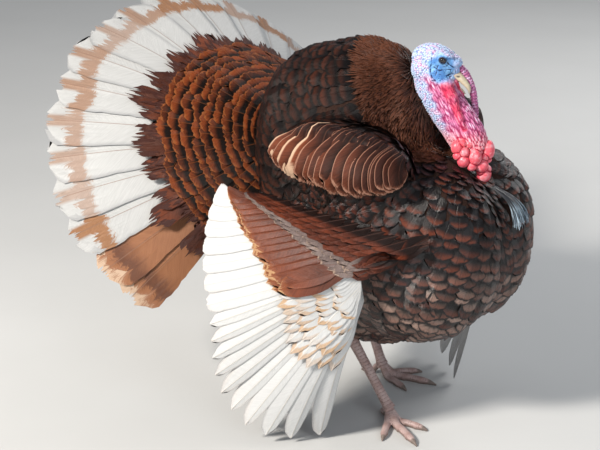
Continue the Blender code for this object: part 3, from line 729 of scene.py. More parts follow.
def brown_feather(name, root, main, warm, edge, edge_from, roughness=0.45, gloss=0.22, light=(0.35, 0.75),
                  lace=None, lace_from=0.965, painted_sheen=None, cream_and_shade=None, side_shade=0.0):
    """Its main colour goes warm with the zone, to a dark end and a pale lace."""
    made, tree, where = start_material(name, roughness, Specular_IOR_Level=gloss)
    m = vane_marks(tree)
    share = m.zone
    vary = m.chance * 0.40 + noise(where, 26.0) * 0.50 + m.streak * 1.7 - 0.29
    if painted_sheen:
        share = ramp(noise(where, 9.0, 2.0) * 1.6 + m.chance * 0.35 - 0.5, 0.1, 0.9)
        vary = vary * (ramp(m.zone, 0.0, 0.5) * 0.55 + 0.45)
    # Towards the root the colour darkens to the root colour: painted shade where the feather before lies
    # over this one.
    tone = blend(ramp(m.s, *light), root, blend(share, main, warm))
    tone = dimmed(tone, vary)
    end = m.w * m.w * 0.07 + m.s + m.streak * 0.14 - 0.07
    if cream_and_shade:
        # Scapulars darken from the open edge in towards the shaft, where the next feather's edge lies on
        # them: painted shade.
        tone = dimmed(tone, ramp(m.w, 0.15, 0.85) * 0.75 + 0.42)
        end = end.math("MAXIMUM", m.w * 1.04 - 0.02)
    if painted_sheen:
        # Low-front feathers get a pale bronze-grey band before the tip: painted highlight.
        glow = ramp(end, 0.66, 0.80) * ramp(m.zone, 0.5, 1.0) * (m.chance * 1.1 - 0.15)
        tone = blend(glow * m.streak * 1.5, tone, painted_sheen)
    # Towards the end the colour turns to the edge colour. The breast's and back's dark end is partly their
    # own black edging, partly painted shade in the gap to the next row; the tail rows' bright end is a
    # painted highlight on the lit tips.
    tone = blend(ramp(end, edge_from, edge_from + 0.07), tone, edge)
    if lace:
        tone = blend(ramp(end, lace_from, lace_from + 0.03), tone, lace)
    if cream_and_shade:
        tone = blend(ramp(m.zone, 0.86, 0.97) * ramp(end, 0.76, 0.90), tone, cream_and_shade)
    if side_shade:
        # The sides darken to the root colour: painted shade between neighbouring feathers.
        tone = blend(ramp(m.w, 0.72, 1.0) * side_shade, tone, root)
    return finish(made, blend(m.shaft * 0.35, tone, edge), m.relief, 0.0005, 0.8)


def white_feather(name, band_from, strength, tail=False):
    """White vane whose end carries tan; on the tail as a band with a stem to the tip."""
    made, tree, where = start_material(name, 0.55)
    m = vane_marks(tree)
    at = m.s + noise(where, 38.0) * 0.10 + m.streak * 0.11 - 0.105
    if tail:
        white = blend(m.streak, (0.36, 0.36, 0.355), (0.58, 0.58, 0.57))
        tan = blend(m.streak, (0.19, 0.080, 0.030), (0.38, 0.185, 0.085))
        quill = (0.22, 0.12, 0.08)
        vary = m.chance * 0.5 + 0.6
        stop = 1.0 - ramp(at, 0.885, 0.925)
        stem = 1.0 - ramp(m.x, 0.006, 0.016)
        mask = ramp(at, band_from, band_from + 0.05) * stop.math("MAXIMUM", stem * 0.85)
    else:
        white = blend(m.streak, (0.50, 0.50, 0.50), (0.68, 0.68, 0.67))
        tan = blend(m.streak, (0.40, 0.22, 0.11), (0.66, 0.48, 0.32))
        quill = (0.62, 0.56, 0.48)
        vary = m.chance * 1.1 + 0.1
        at = m.w * m.w * 0.24 + at
        mask = ramp(at, band_from, band_from + 0.05)
    # Towards the sides the white greys: painted shade where the neighbouring feather lies over it.
    white = blend(ramp(m.w, 0.80, 1.0) * 0.45, white, (0.20, 0.20, 0.21))
    tone = blend((mask * strength).math("MINIMUM", 1.0) * vary, white, tan)
    if tail:
        brown = blend(m.streak, (0.20, 0.070, 0.026), (0.40, 0.17, 0.075))
        brown = blend(ramp(at, 0.74, 0.86) * stop, brown, (0.13, 0.045, 0.020))
        brown = blend(ramp(at, 0.95, 0.99), brown, (0.55, 0.38, 0.26))
        tone = blend(m.zone, tone, brown)
    return finish(made, blend(m.shaft * 0.6, tone, quill), m.relief, 0.0005, 0.8)


def bare_material():
    made, tree, where = start_material(
        "bare_skin", 0.40, Specular_IOR_Level=0.45, Subsurface_Weight=0.10,
        Subsurface_Radius=(0.003, 0.001, 0.0008))
    height, blue, red, sides = marked(tree, "skin")
    tone, lid, low, _ = marked(tree, "tint")
    fine = noise(where, 900.0)
    broad = noise(where, 60.0)
    rise = fine * 0.30 + height - 0.15
    # groove runs from the grooves between the warts to their tops; each colour pair below is darker in the
    # grooves, partly the skin's deeper colour in its folds, partly painted shade.
    groove = ramp(rise, 0.12, 0.78)
    mix = tone * 0.35 + broad * 0.75
    crown = blend(groove, (0.15, 0.21, 0.45), (0.51, 0.63, 0.81))
    pinkish = blend(groove, (0.42, 0.14, 0.30), (0.70, 0.53, 0.71))
    base = blend(ramp(mix, 0.50, 0.76), crown, pinkish)
    lilac = blend(groove, (0.26, 0.014, 0.09), (0.60, 0.16, 0.33))
    lilac = blend(ramp(mix, 0.48, 0.68) * ramp(rise, 0.60, 0.98), lilac, (0.78, 0.60, 0.76))
    sky = blend(ramp(broad, 0.35, 0.65), (0.075, 0.23, 0.55), (0.26, 0.53, 0.84))
    for share, colour in (
        (sides, lilac),
        (low * 0.85, blend(groove, (0.50, 0.015, 0.05), (0.88, 0.42, 0.46))),
        (red, blend(groove, (0.30, 0.004, 0.035), (0.68, 0.045, 0.115))),
        (blue, blend(groove, (0.004, 0.012, 0.085), sky)),
        (lid, blend(groove, (0.003, 0.004, 0.012), (0.014, 0.030, 0.075))),
    ):
        base = blend(share, base, colour)
    return finish(made, base, broad * 0.5 + fine, 0.0005, 0.8)


def under_material():
    made, tree, where = start_material("under_down", 0.9, Specular_IOR_Level=0.1)
    fine = noise(where, 260.0, 4.0, 0.7)
    return finish(made, blend(fine, (0.010, 0.006, 0.005), (0.060, 0.030, 0.022)), fine, 0.003)


def flesh_material(name, low, high, tip):
    """Red skin: groove colour, top colour and the colour that the tops pale to."""
    made, tree, where = start_material(
        name, 0.34, Specular_IOR_Level=0.5, Subsurface_Weight=0.15,
        Subsurface_Radius=(0.005, 0.0015, 0.001))
    fine = noise(where, 700.0)
    broad = noise(where, 110.0, 2.0)
    # The groove colour is darker than the top colour: partly the skin's deeper colour in its creases,
    # partly painted shade.
    groove = ramp(fine * 0.3 + marked(tree, "flesh")[0] - 0.15, 0.10, 0.80)
    base = blend(ramp(broad, 0.45, 0.70) * groove, blend(groove, low, high), tip)
    return finish(made, base, broad * 0.6 + fine, 0.0004, 0.7)


def eye_material():
    made, tree, where = start_material("eye", 0.06, Coat_Weight=1.0)
    ring = marked(tree, "eye")[0]
    iris = blend(noise(where, 1400.0), (0.004, 0.002, 0.002), (0.022, 0.009, 0.005))
    base = blend(ramp(ring, 0.0024, 0.0027), (0.003, 0.003, 0.004), iris)
    return finish(made, blend(ramp(ring, 0.0046, 0.0052), base, (0.004, 0.003, 0.004)))


def horn_material():
    made, tree, where = start_material("horn", 0.38, Coat_Weight=0.25)
    along, hole, _, _ = marked(tree, "bill")
    grain = noise(where, 240.0, 4.0, 0.6)
    base = blend(grain, (0.48, 0.38, 0.24), (0.72, 0.64, 0.47))
    base = blend(ramp(along, 0.42, 0.0), base, (0.36, 0.24, 0.25))
    base = blend(ramp(along, 0.80, 1.0), base, (0.62, 0.56, 0.42))
    # The nostrils are painted near black: painted shade in the holes.
    return finish(made, blend(hole, base, (0.05, 0.03, 0.03)), grain, 0.0003, 0.7)


def leg_material():
    made, tree, where = start_material("leg_skin", 0.5)
    height, chance, claw, low = marked(tree, "scale")
    fine = noise(where, 420.0, 4.0)
    light = blend(chance, (0.38, 0.24, 0.21), (0.52, 0.38, 0.35))
    light = blend(fine * 0.5, light, (0.30, 0.22, 0.22))
    base = blend(ramp(height, 0.10, 0.65), (0.13, 0.075, 0.065), light)
    # The toes are darker where they face down: painted shade.
    base = blend(low, base, (0.20, 0.14, 0.12))
    base = blend(claw, base, blend(fine, (0.09, 0.065, 0.055), (0.26, 0.20, 0.17)))
    return finish(made, base, fine, 0.0004, 0.6)


def bristle_material():
    made, tree, _ = start_material("bristle", 0.35)
    m = vane_marks(tree)
    # Black bristles turn pale blue-grey towards their ends: painted highlight of the sky reflected on black
    # hair.
    tip = ramp(m.s, 0.40, 0.85) * ramp(m.chance, 0.10, 0.60)
    return finish(made, blend(tip, (0.018, 0.020, 0.026), (0.44, 0.56, 0.66)))


# Root, main, warm and edge colours, where the edge starts, and what is unusual.
# Each root colour is painted shade where the feather before lies over the base; the sheen colours are
# painted highlights.
BROWNS = {
    "breast": ((0.004, 0.002, 0.002), (0.050, 0.011, 0.006), (0.120, 0.026, 0.010),
               (0.006, 0.003, 0.003), 0.91,
               dict(roughness=0.32, gloss=0.45, painted_sheen=(0.34, 0.24, 0.195), light=(0.70, 0.90),
                    side_shade=0.95)),
    "back": ((0.006, 0.003, 0.003), (0.034, 0.010, 0.006), (0.085, 0.021, 0.009),
             (0.005, 0.003, 0.002), 0.88,
             dict(roughness=0.50, gloss=0.20, painted_sheen=(0.10, 0.060, 0.045), light=(0.62, 0.86),
                  side_shade=0.80)),
    "nape": ((0.020, 0.007, 0.004), (0.050, 0.016, 0.009), (0.105, 0.032, 0.015),
             (0.115, 0.038, 0.018), 0.80, dict(roughness=0.46)),
    # The tail rows' dark root is painted shade in the gaps between tiers, and their bright rust edge is a
    # painted highlight on the tips.
    "tail_row": ((0.006, 0.003, 0.002), (0.050, 0.012, 0.005), (0.190, 0.040, 0.010),
                 (0.240, 0.072, 0.020), 0.955, dict(roughness=0.50, gloss=0.12, light=(0.78, 0.93))),
    "tail_long": ((0.050, 0.014, 0.007), (0.060, 0.017, 0.009), (0.135, 0.034, 0.014),
                  (0.055, 0.017, 0.012), 0.86, dict(roughness=0.5)),
    "wing_brown": ((0.10, 0.024, 0.010), (0.120, 0.030, 0.013), (0.165, 0.040, 0.016),
                   (0.21, 0.060, 0.022), 0.86, dict(roughness=0.33, gloss=0.35, lace=(0.46, 0.26, 0.13))),
    "wing_grey": ((0.04, 0.022, 0.018), (0.130, 0.092, 0.084), (0.20, 0.150, 0.135),
                  (0.15, 0.105, 0.090), 0.92,
                  dict(roughness=0.42, lace=(0.36, 0.26, 0.20), lace_from=0.975, light=(0.50, 0.85))),
    "wing_red": ((0.010, 0.004, 0.003), (0.070, 0.016, 0.008), (0.125, 0.027, 0.011),
                 (0.120, 0.035, 0.018), 0.94, dict(roughness=0.40, light=(0.55, 0.88))),
    "scapular": ((0.022, 0.007, 0.005), (0.034, 0.011, 0.007), (0.150, 0.036, 0.014),
                 (0.15, 0.050, 0.028), 0.90,
                 dict(roughness=0.48, gloss=0.15, lace=(0.36, 0.18, 0.12), light=(0.10, 0.60),
                      cream_and_shade=(0.56, 0.37, 0.25))),
}


def build_materials():
    made = {key: brown_feather(key + "_feather", *rest, **more) for key, (*rest, more) in BROWNS.items()}
    made.update(
        wing_white=white_feather("wing_white_feather", 0.89, 1.1),
        flight=white_feather("flight_feather", 0.97, 0.10),
        tail=white_feather("tail_feather", 0.79, 1.35, True),
        bare=bare_material(), under=under_material(),
        snood=flesh_material("snood_skin", (0.22, 0.03, 0.12), (0.52, 0.15, 0.33), (0.72, 0.52, 0.72)),
        wattle=flesh_material("wattle_skin", (0.40, 0.006, 0.03), (0.80, 0.105, 0.145), (0.90, 0.36, 0.40)),
        eye=eye_material(), horn=horn_material(), leg=leg_material(), bristle=bristle_material(),
    )
    return made


# Body

def side_of(spots, left):
    """Right side's places as they are, or as the left side has them."""
    spots = np.array(spots, float)
    if left:
        drop = np.maximum(0.0, WRIST[2] - spots[..., 2])
        rise = np.clip((spots[..., 2] - WRIST[2]) / LEFT_BACK_RISE, 0.0, 1.0)
        spots[..., 0] += LEFT_FORWARD * drop - LEFT_BACK * rise
        spots[..., 1] = -spots[..., 1] - LEFT_TUCK * drop
    return spots


def hump_radii(left):
    """The far shoulder lies lower under its feathers."""
    return SHOULDER_RADII * (0.88 if left else 1.0)


def body_skin():
    """The feathered flesh as one even skin, with the distance over it from the bare neck,
    the ways of its feathers and a tree to find its nearest place."""
    sources = [node_arrays(node) for node in ("torso", "nape", "thigh_right", "thigh_left")]
    for left in (False, True):
        sources.append(ball(side_of(SHOULDER, left), hump_radii(left) - 0.002))
    points, faces = fused(sources, SKIN_VOXEL, 14, COAT)
    rim = np.zeros(len(points), bool)
    for node, reach in (("throat", 0.0135), ("head", 0.0135), ("wattles", 0.006)):
        rim |= near_points(node_arrays(node)[0], points) < reach
    field = neighbours_mean(skin_distance(points, faces, rim), faces, 4)
    ways = unit(neighbours_mean(surface_slope(points, faces, field), faces, 6))
    tree = BVHTree.FromPolygons([Vector(p) for p in points], faces.tolist())
    return (points, faces, point_normals(points, faces), ways), field, tree


def body_map(spots):
    """Place on the coat's own map: turn round the body's long axis, and way along it."""
    turn = np.arctan2(spots[:, 1], spots[:, 2] - 0.40) / (2.0 * math.pi) + 0.5
    return np.stack([0.03 + 0.94 * turn, 0.03 + 0.94 * (spots[:, 0] + 0.34) / 0.62], 1)


def nape_share(spots):
    """One on the feathered neck, none on the body."""
    away = np.hypot(spots[:, 0] - 0.034, spots[:, 1] * 0.95)
    return smoothstep(0.100, 0.080, away) * smoothstep(0.485, 0.515, spots[:, 2])


def off_the_hump(spots):
    """Where body feathers grow: not under the scapulars, nor on the neck."""
    away = [(((spots - side_of(SHOULDER, left)) / hump_radii(left)) ** 2).sum(1) for left in (False, True)]
    open_skin = (np.minimum(*away) > 0.80) | (np.abs(spots[:, 1]) < 0.158)
    return open_skin & (nape_share(spots) < 0.5)


def breast_and_back(skin, field, tree, looks):
    levels = 0.006 + np.cumsum(0.0085 + 0.0095 * smoothstep(0.0, 0.22, np.linspace(0.0, 1.0, 60)))
    levels = levels[levels < field.max() - 0.01]
    roots = rows_of_roots(skin, field, levels, 0.018 + 0.013 * smoothstep(0.02, 0.12, levels), "body")
    roots = roots[off_the_hump(roots[:, :3])]
    # In deep hollows of the skin the feathers stand closer, narrower and higher.
    bulge = ((neighbours_mean(skin[0], skin[1], 6) - skin[0]) * skin[2]).sum(1)
    hollow = smoothstep(0.0001, 0.0009, bulge)
    roots = filled(skin, roots, 0.0165 - 0.0085 * hollow, off_the_hump(skin[0]) & (field > 0.006))
    deep = np.array([hollow[np.linalg.norm(skin[0] - root, axis=1).argmin()] for root in roots[:, :3]])
    spots, normals, ways = np.split(roots, 3, axis=1)
    roll = dice("body lie")
    ways = unit(ways + roll.normal(0.0, 0.07, ways.shape))
    count = len(spots)
    rows = 9
    grown = smoothstep(0.06, 0.15, near_points(THROAT[:, :3], spots))
    lengths = (0.040 + 0.020 * grown) * roll.uniform(0.92, 1.10, count)
    low_front = smoothstep(0.43, 0.29, spots[:, 2]) * smoothstep(-0.12, 0.02, spots[:, 0])
    rise = 0.0058 + 0.0045 * low_front * roll.uniform(0.2, 1.0, count) + 0.0030 * deep
    spine, out = lay_over(tree, spots, ways, lengths, rows, -0.002, rise, 0.8)
    side, out = across(spine, out, roll.normal(0.05, 0.05, count))
    half = (0.0115 + 0.0080 * grown) * roll.uniform(0.92, 1.1, count)
    half = feather_half(rows, "square") * (half * (1.0 - 0.45 * deep))[:, None]
    back = smoothstep(0.40, 0.47, spots[:, 2]) * smoothstep(0.10, 0.0, spots[:, 0])
    # Zone is low on the darker back and high on the low front, whose feathers carry the painted sheen
    # highlight.
    zone = np.clip(0.5 + 0.5 * low_front - 0.45 * back + roll.uniform(-0.10, 0.10, count), 0, 1)
    for left, word in enumerate(SIDES):
        for kind, inside in (("breast", back < 0.5), ("back", back >= 0.5)):
            keep = inside & ((spots[:, 1] >= 0.0) == left)
            name = "coat_%s_%s" % (kind, word)
            parts = vanes(spine[keep], side[keep], out[keep], half[keep], 9, name, zone[keep],
                          camber=0.10, fray=0.035, split=0.05, bow=0.07)
            coat_piece(name, parts, "dark_feather", looks[kind], body_map(spots[keep]))


def dress_nape(skin, field, tree, looks):
    """Hair-like feathers that run down along the neck, and back on its top."""
    levels = np.arange(0.0005, 0.24, 0.0031)
    roots = rows_of_roots(skin, field, levels, np.full(len(levels), 0.0028), "nape")
    roots = roots[nape_share(roots[:, :3]) > 0.35]
    spots, normals, ways = np.split(roots, 3, axis=1)
    roll = dice("nape lie")
    top = np.clip(normals[:, 2:] * 1.3, 0.0, 1.0)
    ways = ways * (0.30 + top) + NECK_WAY * (1.0 - top)
    swirl = np.sin(spots @ np.array((31.0, 44.0, 23.0)))[:, None]
    ways = unit(ways + 0.10 * swirl * np.cross(normals, ways) + roll.normal(0.0, 0.06, ways.shape))
    count = len(spots)
    rows = 5
    lengths = 0.036 * roll.uniform(0.75, 1.25, count)
    spine, out = lay_over(tree, spots, ways, lengths, rows, 0.0, roll.uniform(0.0040, 0.0070, count), 0.3)
    side, out = across(spine, out, roll.normal(0.0, 0.25, count))
    half = feather_half(rows, "lance") * (0.0019 * roll.uniform(0.7, 1.3, count))[:, None]
    for left, word in enumerate(SIDES):
        keep = (spots[:, 1] >= 0.0) == left
        parts = vanes(spine[keep], side[keep], out[keep], half[keep], 3, "nape" + word,
                      roll.uniform(0.0, 1.0, int(keep.sum())), camber=0.2, fray=0.06)
        coat_piece("coat_nape_" + word, parts, "rust_feather", looks["nape"], body_map(spots[keep]))


# Tail

def strip_places(count):
    return np.stack([(np.arange(count) + 0.5) / count, np.full(count, 0.5)], 1)


def any_zone(index, roll):
    return roll.uniform(0.0, 1.0, len(index))


def tail_axes():
    up = unit(np.array(TAIL_UP))
    front = np.array(TAIL_FRONT)
    front = unit(front - up * front.dot(up))
    return up, np.cross(front, up), front


def fan_points(angle, reach, offset):
    up, side, front = tail_axes()
    angle, reach, offset = angle[..., None], reach[..., None], offset[..., None]
    ring = up * np.cos(angle) - side * np.sin(angle)
    sweep = TAIL_SWEEP * (0.62 + 0.38 * reach / TAIL_LENGTH)
    spot = (ring * np.cos(sweep) - front * np.sin(sweep)) * reach
    return TAIL_ROOT + spot + front * offset


def fan_tier(count, start, reach, offsets, half, columns, seed, zone, lean=0.05, layer=0.0006,
             jitter=0.012, **shape):
    """One ring of vanes of the fan, from the near lowest to the far lowest."""
    roll = dice(seed)
    index = np.arange(count)
    middle = (count - 1) / 2.0
    angle = (middle - index) * TAIL_SPREAD / (count - 1) + roll.normal(0.0, jitter, count)
    full = 1.0 + TAIL_ROUND - 2.2 * TAIL_ROUND * ((index - middle) / middle) ** 2
    full = reach * full * (1.0 + roll.uniform(-1.0, 1.0, count) * jitter * 1.4)
    share = np.linspace(0.0, 1.0, len(half))
    far = start + (full[:, None] - start) * share
    turn = angle[:, None] + roll.normal(0.0, 0.010, count)[:, None] * share ** 2
    back = between(share, *offsets) - layer * np.abs(index - middle)[:, None]
    spine = fan_points(turn, far, back)
    side = unit(fan_points(turn - 0.01, far, back) - fan_points(turn + 0.01, far, back))
    front = tail_axes()[2]
    tilt = np.where(index < middle, -lean, lean) + roll.normal(0.0, lean * 0.3, count)
    side = unit(side + front * tilt[:, None, None])
    out = unit(np.cross(unit(np.gradient(spine, axis=1)), side))
    out = out * np.sign((out * front).sum(2, keepdims=True))
    return vanes(spine, side, out, half, columns, seed, zone(index, roll), **shape)


def dress_tail(looks):
    half = curve_through(np.linspace(0.0, 1.0, 30), (0.0, 0.30, 0.62, 0.88, 0.965, 1.0),
                         (0.0075, 0.028, 0.042, 0.049, 0.043, 0.020))
    parts = fan_tier(
        TAIL_FEATHERS, TAIL_START, TAIL_LENGTH, (0.0, 0.0), half, 33, "rectrices",
        lambda index, roll: np.where(np.minimum(index, index[::-1]) < 2, 1.0, 0.0),
        lean=0.025, layer=0.0013, camber=0.02, fray=0.042, split=0.05, ridge=0.0009, thick=0.0005)
    coat_piece("tail_feathers", parts, "white_feather", looks["tail"], strip_places(TAIL_FEATHERS),
               ("tail_fan",), 0.9 / TAIL_FEATHERS)
    tiers = []
    reach = 0.290
    while reach > 0.085:
        number = len(tiers)
        low = 0.016 + (0.275 - reach) * 0.235
        if number < 3:
            count, width = ((13, 0.0200), (17, 0.0180), (26, 0.0165))[number]
            start, rows, columns, pitch = reach - 0.115, 14, 17, 0.018
            shape = dict(jitter=0.045, fray=0.20, split=0.12, bow=0.10)
        else:
            count, width = max(12, int(3.3 * reach / 0.026)), 0.0190
            start, rows, columns, pitch = max(0.055, reach - 0.080), 11, 9, 0.0165
            shape = dict(jitter=0.022, fray=0.035, split=0.05, bow=0.04)
        half = feather_half(rows, "square") * (1.0 + 0.25 * np.linspace(0.0, 1.0, rows) ** 2) * width
        tiers.append((count, fan_tier(
            count, start, reach, (low - 0.004, low), half, columns, "coverts" + str(number), any_zone,
            lean=0.08, camber=0.06, **shape)))
        reach -= pitch
    for number, (count, parts) in enumerate(tiers):
        places = strip_places(count)
        places[:, 1] = 0.05 + 0.9 * number / len(tiers)
        coat_piece("tail_coverts_%02d" % number, parts, "rust_feather",
                   looks["tail_long" if number < 3 else "tail_row"], places,
                   () if number else ("tail_coverts",))


# Wings

def wing_points(row, share, offset):
    """Places on the wing: row counts its flight feathers, share runs along them."""
    hand = np.linspace(0.0, 1.0, PRIMARIES + 1)[:-1, None]
    arm = np.linspace(0.0, 1.0, len(WING_TIPS) - PRIMARIES)[:, None]
    roots = np.concatenate([between(hand, HAND_END, WRIST), between(arm, WRIST, ELBOW)])
    row, share, offset = np.broadcast_arrays(row, share, offset)
    low = np.clip(np.floor(row).astype(int), 0, len(WING_TIPS) - 2)
    part = (row - low)[..., None]
    root = roots[low] * (1.0 - part) + roots[low + 1] * part
    tip = WING_TIPS[low] * (1.0 - part) + WING_TIPS[low + 1] * part
    lift = WING_BULGE * np.sin(math.pi * np.clip(share, -0.2, 1.0)) + offset
    return between(share[..., None], root, tip) + np.array((0.0, -1.0, 0.0)) * lift[..., None]


def wing_tier(left, numbers, first, last, offsets, half, columns, seed, zone, lean=0.06, wander=0.0,
              **shape):
    """Vanes of one wing tier; numbers places them among the flight feathers."""
    roll = dice(seed)
    count = len(numbers)
    last = last + roll.uniform(-1.0, 1.0, count) * wander
    share = np.linspace(0.0, 1.0, half.shape[-2] if half.ndim > 1 else len(half))
    along = first + (last[:, None] - first) * share
    offset = between(share, *offsets)
    row = numbers[:, None] + share * roll.uniform(-1.0, 1.0, count)[:, None] * wander
    before = side_of(wing_points(row - 0.15, along, offset), left)
    after = side_of(wing_points(row + 0.15, along, offset), left)
    spine = (before + after) / 2.0
    outward = 1.0 if left else -1.0
    out = np.zeros_like(spine)
    out[..., 1] = outward
    tilt = lean * (1.0 + roll.normal(0.0, 0.2, count))[:, None, None]
    side = unit(unit(after - before) - out * tilt)
    out = unit(np.cross(side, unit(np.gradient(spine, axis=1))))
    out = out * np.sign(out[..., 1:2]) * outward
    return vanes(spine, side, out, half, columns, seed, zone(numbers, roll), **shape)


# Half widths before and behind the shaft of the primaries and of the secondaries.
FLIGHT_MARKS = (0.0, 0.2, 0.55, 0.88, 0.965, 1.0)
FLIGHT_HALF = (
    ((0.003, 0.005, 0.010, 0.0105, 0.007, 0.0016), (0.003, 0.010, 0.022, 0.020, 0.013, 0.003)),
    ((0.003, 0.008, 0.014, 0.0160, 0.0145, 0.008), (0.003, 0.013, 0.021, 0.0235, 0.021, 0.012)),
)
# Each tier's first and last place among the flight feathers, its count, where its
# feathers start and end along them, their two heights over them, half width and look.
WING_TIERS = (
    ("white_long", 0.2, 10.2, 12, 0.00, 0.48, (0.006, 0.008), 0.0150, "white"),
    ("white_mid", 0.5, 10.0, 12, -0.01, 0.37, (0.010, 0.012), 0.0150, "white"),
    ("white_short", 0.8, 9.8, 12, -0.02, 0.25, (0.013, 0.014), 0.0150, "white"),
    ("white_top", 1.0, 9.6, 11, -0.03, 0.14, (0.016, 0.016), 0.0150, "white"),
    ("under_great", 10.0, 16.3, 15, 0.00, 0.500, (0.014, 0.010), 0.0240, "brown"),
    ("great", 9.9, 16.2, 15, -0.02, 0.46, (0.018, 0.014), 0.0250, "brown"),
    ("middle", 9.9, 16.3, 16, -0.18, 0.105, (0.018, 0.021), 0.0165, "grey"),
    ("middle_2", 9.7, 16.3, 16, -0.22, 0.045, (0.020, 0.024), 0.0165, "grey"),
    ("lesser_1", 7.6, 16.4, 18, -0.27, -0.02, (0.022, 0.027), 0.0175, "red"),
    ("lesser_2", 7.2, 16.4, 18, -0.33, -0.09, (0.020, 0.029), 0.0175, "red"),
    ("lesser_3", 7.0, 16.4, 18, -0.39, -0.16, (0.018, 0.029), 0.0175, "red"),
    ("lesser_4", 7.0, 16.4, 18, -0.45, -0.23, (0.014, 0.028), 0.0175, "red"),
)


def dress_wing(left, looks):
    word = SIDES[left]
    count = len(WING_TIPS)
    share = np.linspace(0.0, 1.0, 26)
    primary, secondary = (
        np.stack([curve_through(share, FLIGHT_MARKS, edge) for edge in edges], 1) for edges in FLIGHT_HALF)
    half = np.stack([primary] * PRIMARIES + [secondary] * (count - PRIMARIES))
    parts = wing_tier(
        left, np.arange(count, dtype=float), 0.0, 1.0, (0.0, 0.0), half, 11, "flight" + word,
        lambda index, roll: np.where(index < PRIMARIES, 0.0, 0.5),
        camber=0.10, fray=0.006, split=0.04, ridge=0.0009, thick=0.0006)
    coat_piece("flight_feathers_" + word, parts, "white_feather", looks["flight"], strip_places(count),
               ("flight_" + word,), 0.9 / count)
    for name, low, high, count, first, last, offsets, width, kind in WING_TIERS:
        parts = wing_tier(
            left, np.linspace(low, high, count), first, last, offsets, feather_half(11, "round") * width,
            9, name + word, any_zone, lean=0.03 if kind == "brown" else 0.12, wander=0.02, camber=0.03,
            fray=0.03, split=0.05)
        coat_piece("wing_%s_%s" % (name, word), parts,
                   "white_feather" if kind == "white" else "rust_feather", looks["wing_" + kind],
                   strip_places(count), ("wing_coverts_" + word,) if name == "great" else ())


def dress_shoulder(left, looks):
    """Long feathers hang side by side over the hump, each with its rear edge on the next."""
    word = SIDES[left]
    roll = dice("shoulder" + word)
    rows = 17
    share = np.linspace(0.0, 1.0, rows)
    rear = np.tile(np.linspace(0.0, 1.0, SCAPULARS) ** 1.2, 2)
    under = np.repeat((1.0, 0.0), SCAPULARS)
    count = len(rear)
    rear = np.clip(rear + under * 0.5 / SCAPULARS + roll.normal(0.0, 0.012, count), 0.0, 1.03)
    root, tip = (between(rear[:, None], *np.array(ends)) for ends in SCAPULAR_ENDS)
    reach = (1.0 + 0.08 * under + roll.uniform(-0.09, 0.05, count))[:, None] * share
    turn, high = (root[:, k:k + 1] + (tip - root)[:, k:k + 1] * reach for k in (0, 1))
    way = np.stack([np.sin(turn), -np.cos(turn) * np.cos(high), np.cos(turn) * np.sin(high)], 2)
    crest = smoothstep(0.25, 0.6, rear) * smoothstep(1.02, 0.8, rear) * roll.uniform(0.2, 1.0, count)
    peak = np.exp(-((share - 0.16) / 0.12) ** 2) * crest[:, None] * 0.22
    lift = 0.95 + 0.11 * share ** 1.3 - 0.03 * under[:, None] + peak
    spine = SHOULDER + way * hump_radii(left) * lift[..., None]
    out = unit(way / hump_radii(left))
    tilt = roll.normal(0.24, 0.05, count)[:, None] + 0.34 * share ** 2
    if left:
        side, out = across(side_of(spine, True), out * (1.0, -1.0, 1.0), tilt)
    else:
        side, out = across(spine, out, -tilt)
    half = feather_half(rows, "square") * (1.0 - 0.15 * share ** 3) * (0.0215 + 0.006 * rear)[:, None]
    zone = np.clip(0.75 * rear + roll.normal(0.0, 0.15, count), 0.0, 0.8)
    zone = np.where((rear > 0.72) & (under + roll.random(count) > 0.7), 1.0, zone)
    parts = vanes(side_of(spine, left), side, out, half, 17, "scapulars" + word, zone, camber=0.12,
                  fray=0.03, split=0.03, bow=0.04)
    places = np.stack([0.1 + 0.8 * rear, 0.3 + 0.3 * under], 1)
    coat_piece("scapular_feathers_" + word, parts, "rust_feather", looks["scapular"], places,
               ("scapulars_" + word,))


# Head and bare neck

def turned(angle, *axes):
    """Turn by an angle from the first of two axes to the second."""
    made = np.eye(3)
    made[np.ix_(axes, axes)] = ((math.cos(angle), -math.sin(angle)), (math.sin(angle), math.cos(angle)))
    return made


HEAD_TURN = turned(HEAD_YAW, 0, 1) @ turned(HEAD_NOD, 2, 0)


def in_head(spots):
    return np.asarray(spots) @ HEAD_TURN.T + HEAD_POINT


def head_line(rows, count):
    rows = np.array(rows)
    rows[:, :3] = in_head(rows[:, :3])
    return smooth_line(rows, count)


def warts(points, size, stretch, seed):
    """Rounded cells of about one size: 1 on top of each, 0 in the grooves between."""
    where = points + (stretch - 1.0) * (points @ NECK_WAY)[:, None] * NECK_WAY
    roll = dice(seed)
    order = roll.permutation(len(where))
    cells = np.floor(where[order] / size).astype(int)
    spots = where[order][np.unique(cells, axis=0, return_index=True)[1]]
    tree = search_tree(spots)
    found = [tree.find_n(point, 2) for point in where]
    near = np.array([pair[0][2] for pair in found])
    other = np.array([pair[1][2] for pair in found])
    index = np.array([pair[0][1] for pair in found])
    return 1.0 - (near / np.maximum(other, 1e-9)) ** 2, roll.random(len(spots))[index]


def line_share(points, rows):
    """Nearness to a painted line: 1 at its middle, 0 at its half width."""
    line, half = smooth_line(rows, 24)
    away = np.linalg.norm(points[:, None] - line[None], axis=2) / half
    return smoothstep(1.15, 0.55, away.min(1))


def lid_ring(side):
    """Upper and lower lid round one eye, as a closed ring that follows the ball."""
    turn = np.linspace(0.0, 2.0 * math.pi, 41)
    out = side * (EYE_OUT + 0.0040 - 0.0010 * np.cos(turn) ** 2)
    line = in_head(np.stack([np.cos(turn) * 0.0065, out, np.sin(turn) * 0.0051], 1))
    return tube(line, 0.0012 + 0.0004 * np.sin(turn) ** 2, 10, HEAD_TURN[:, 1])


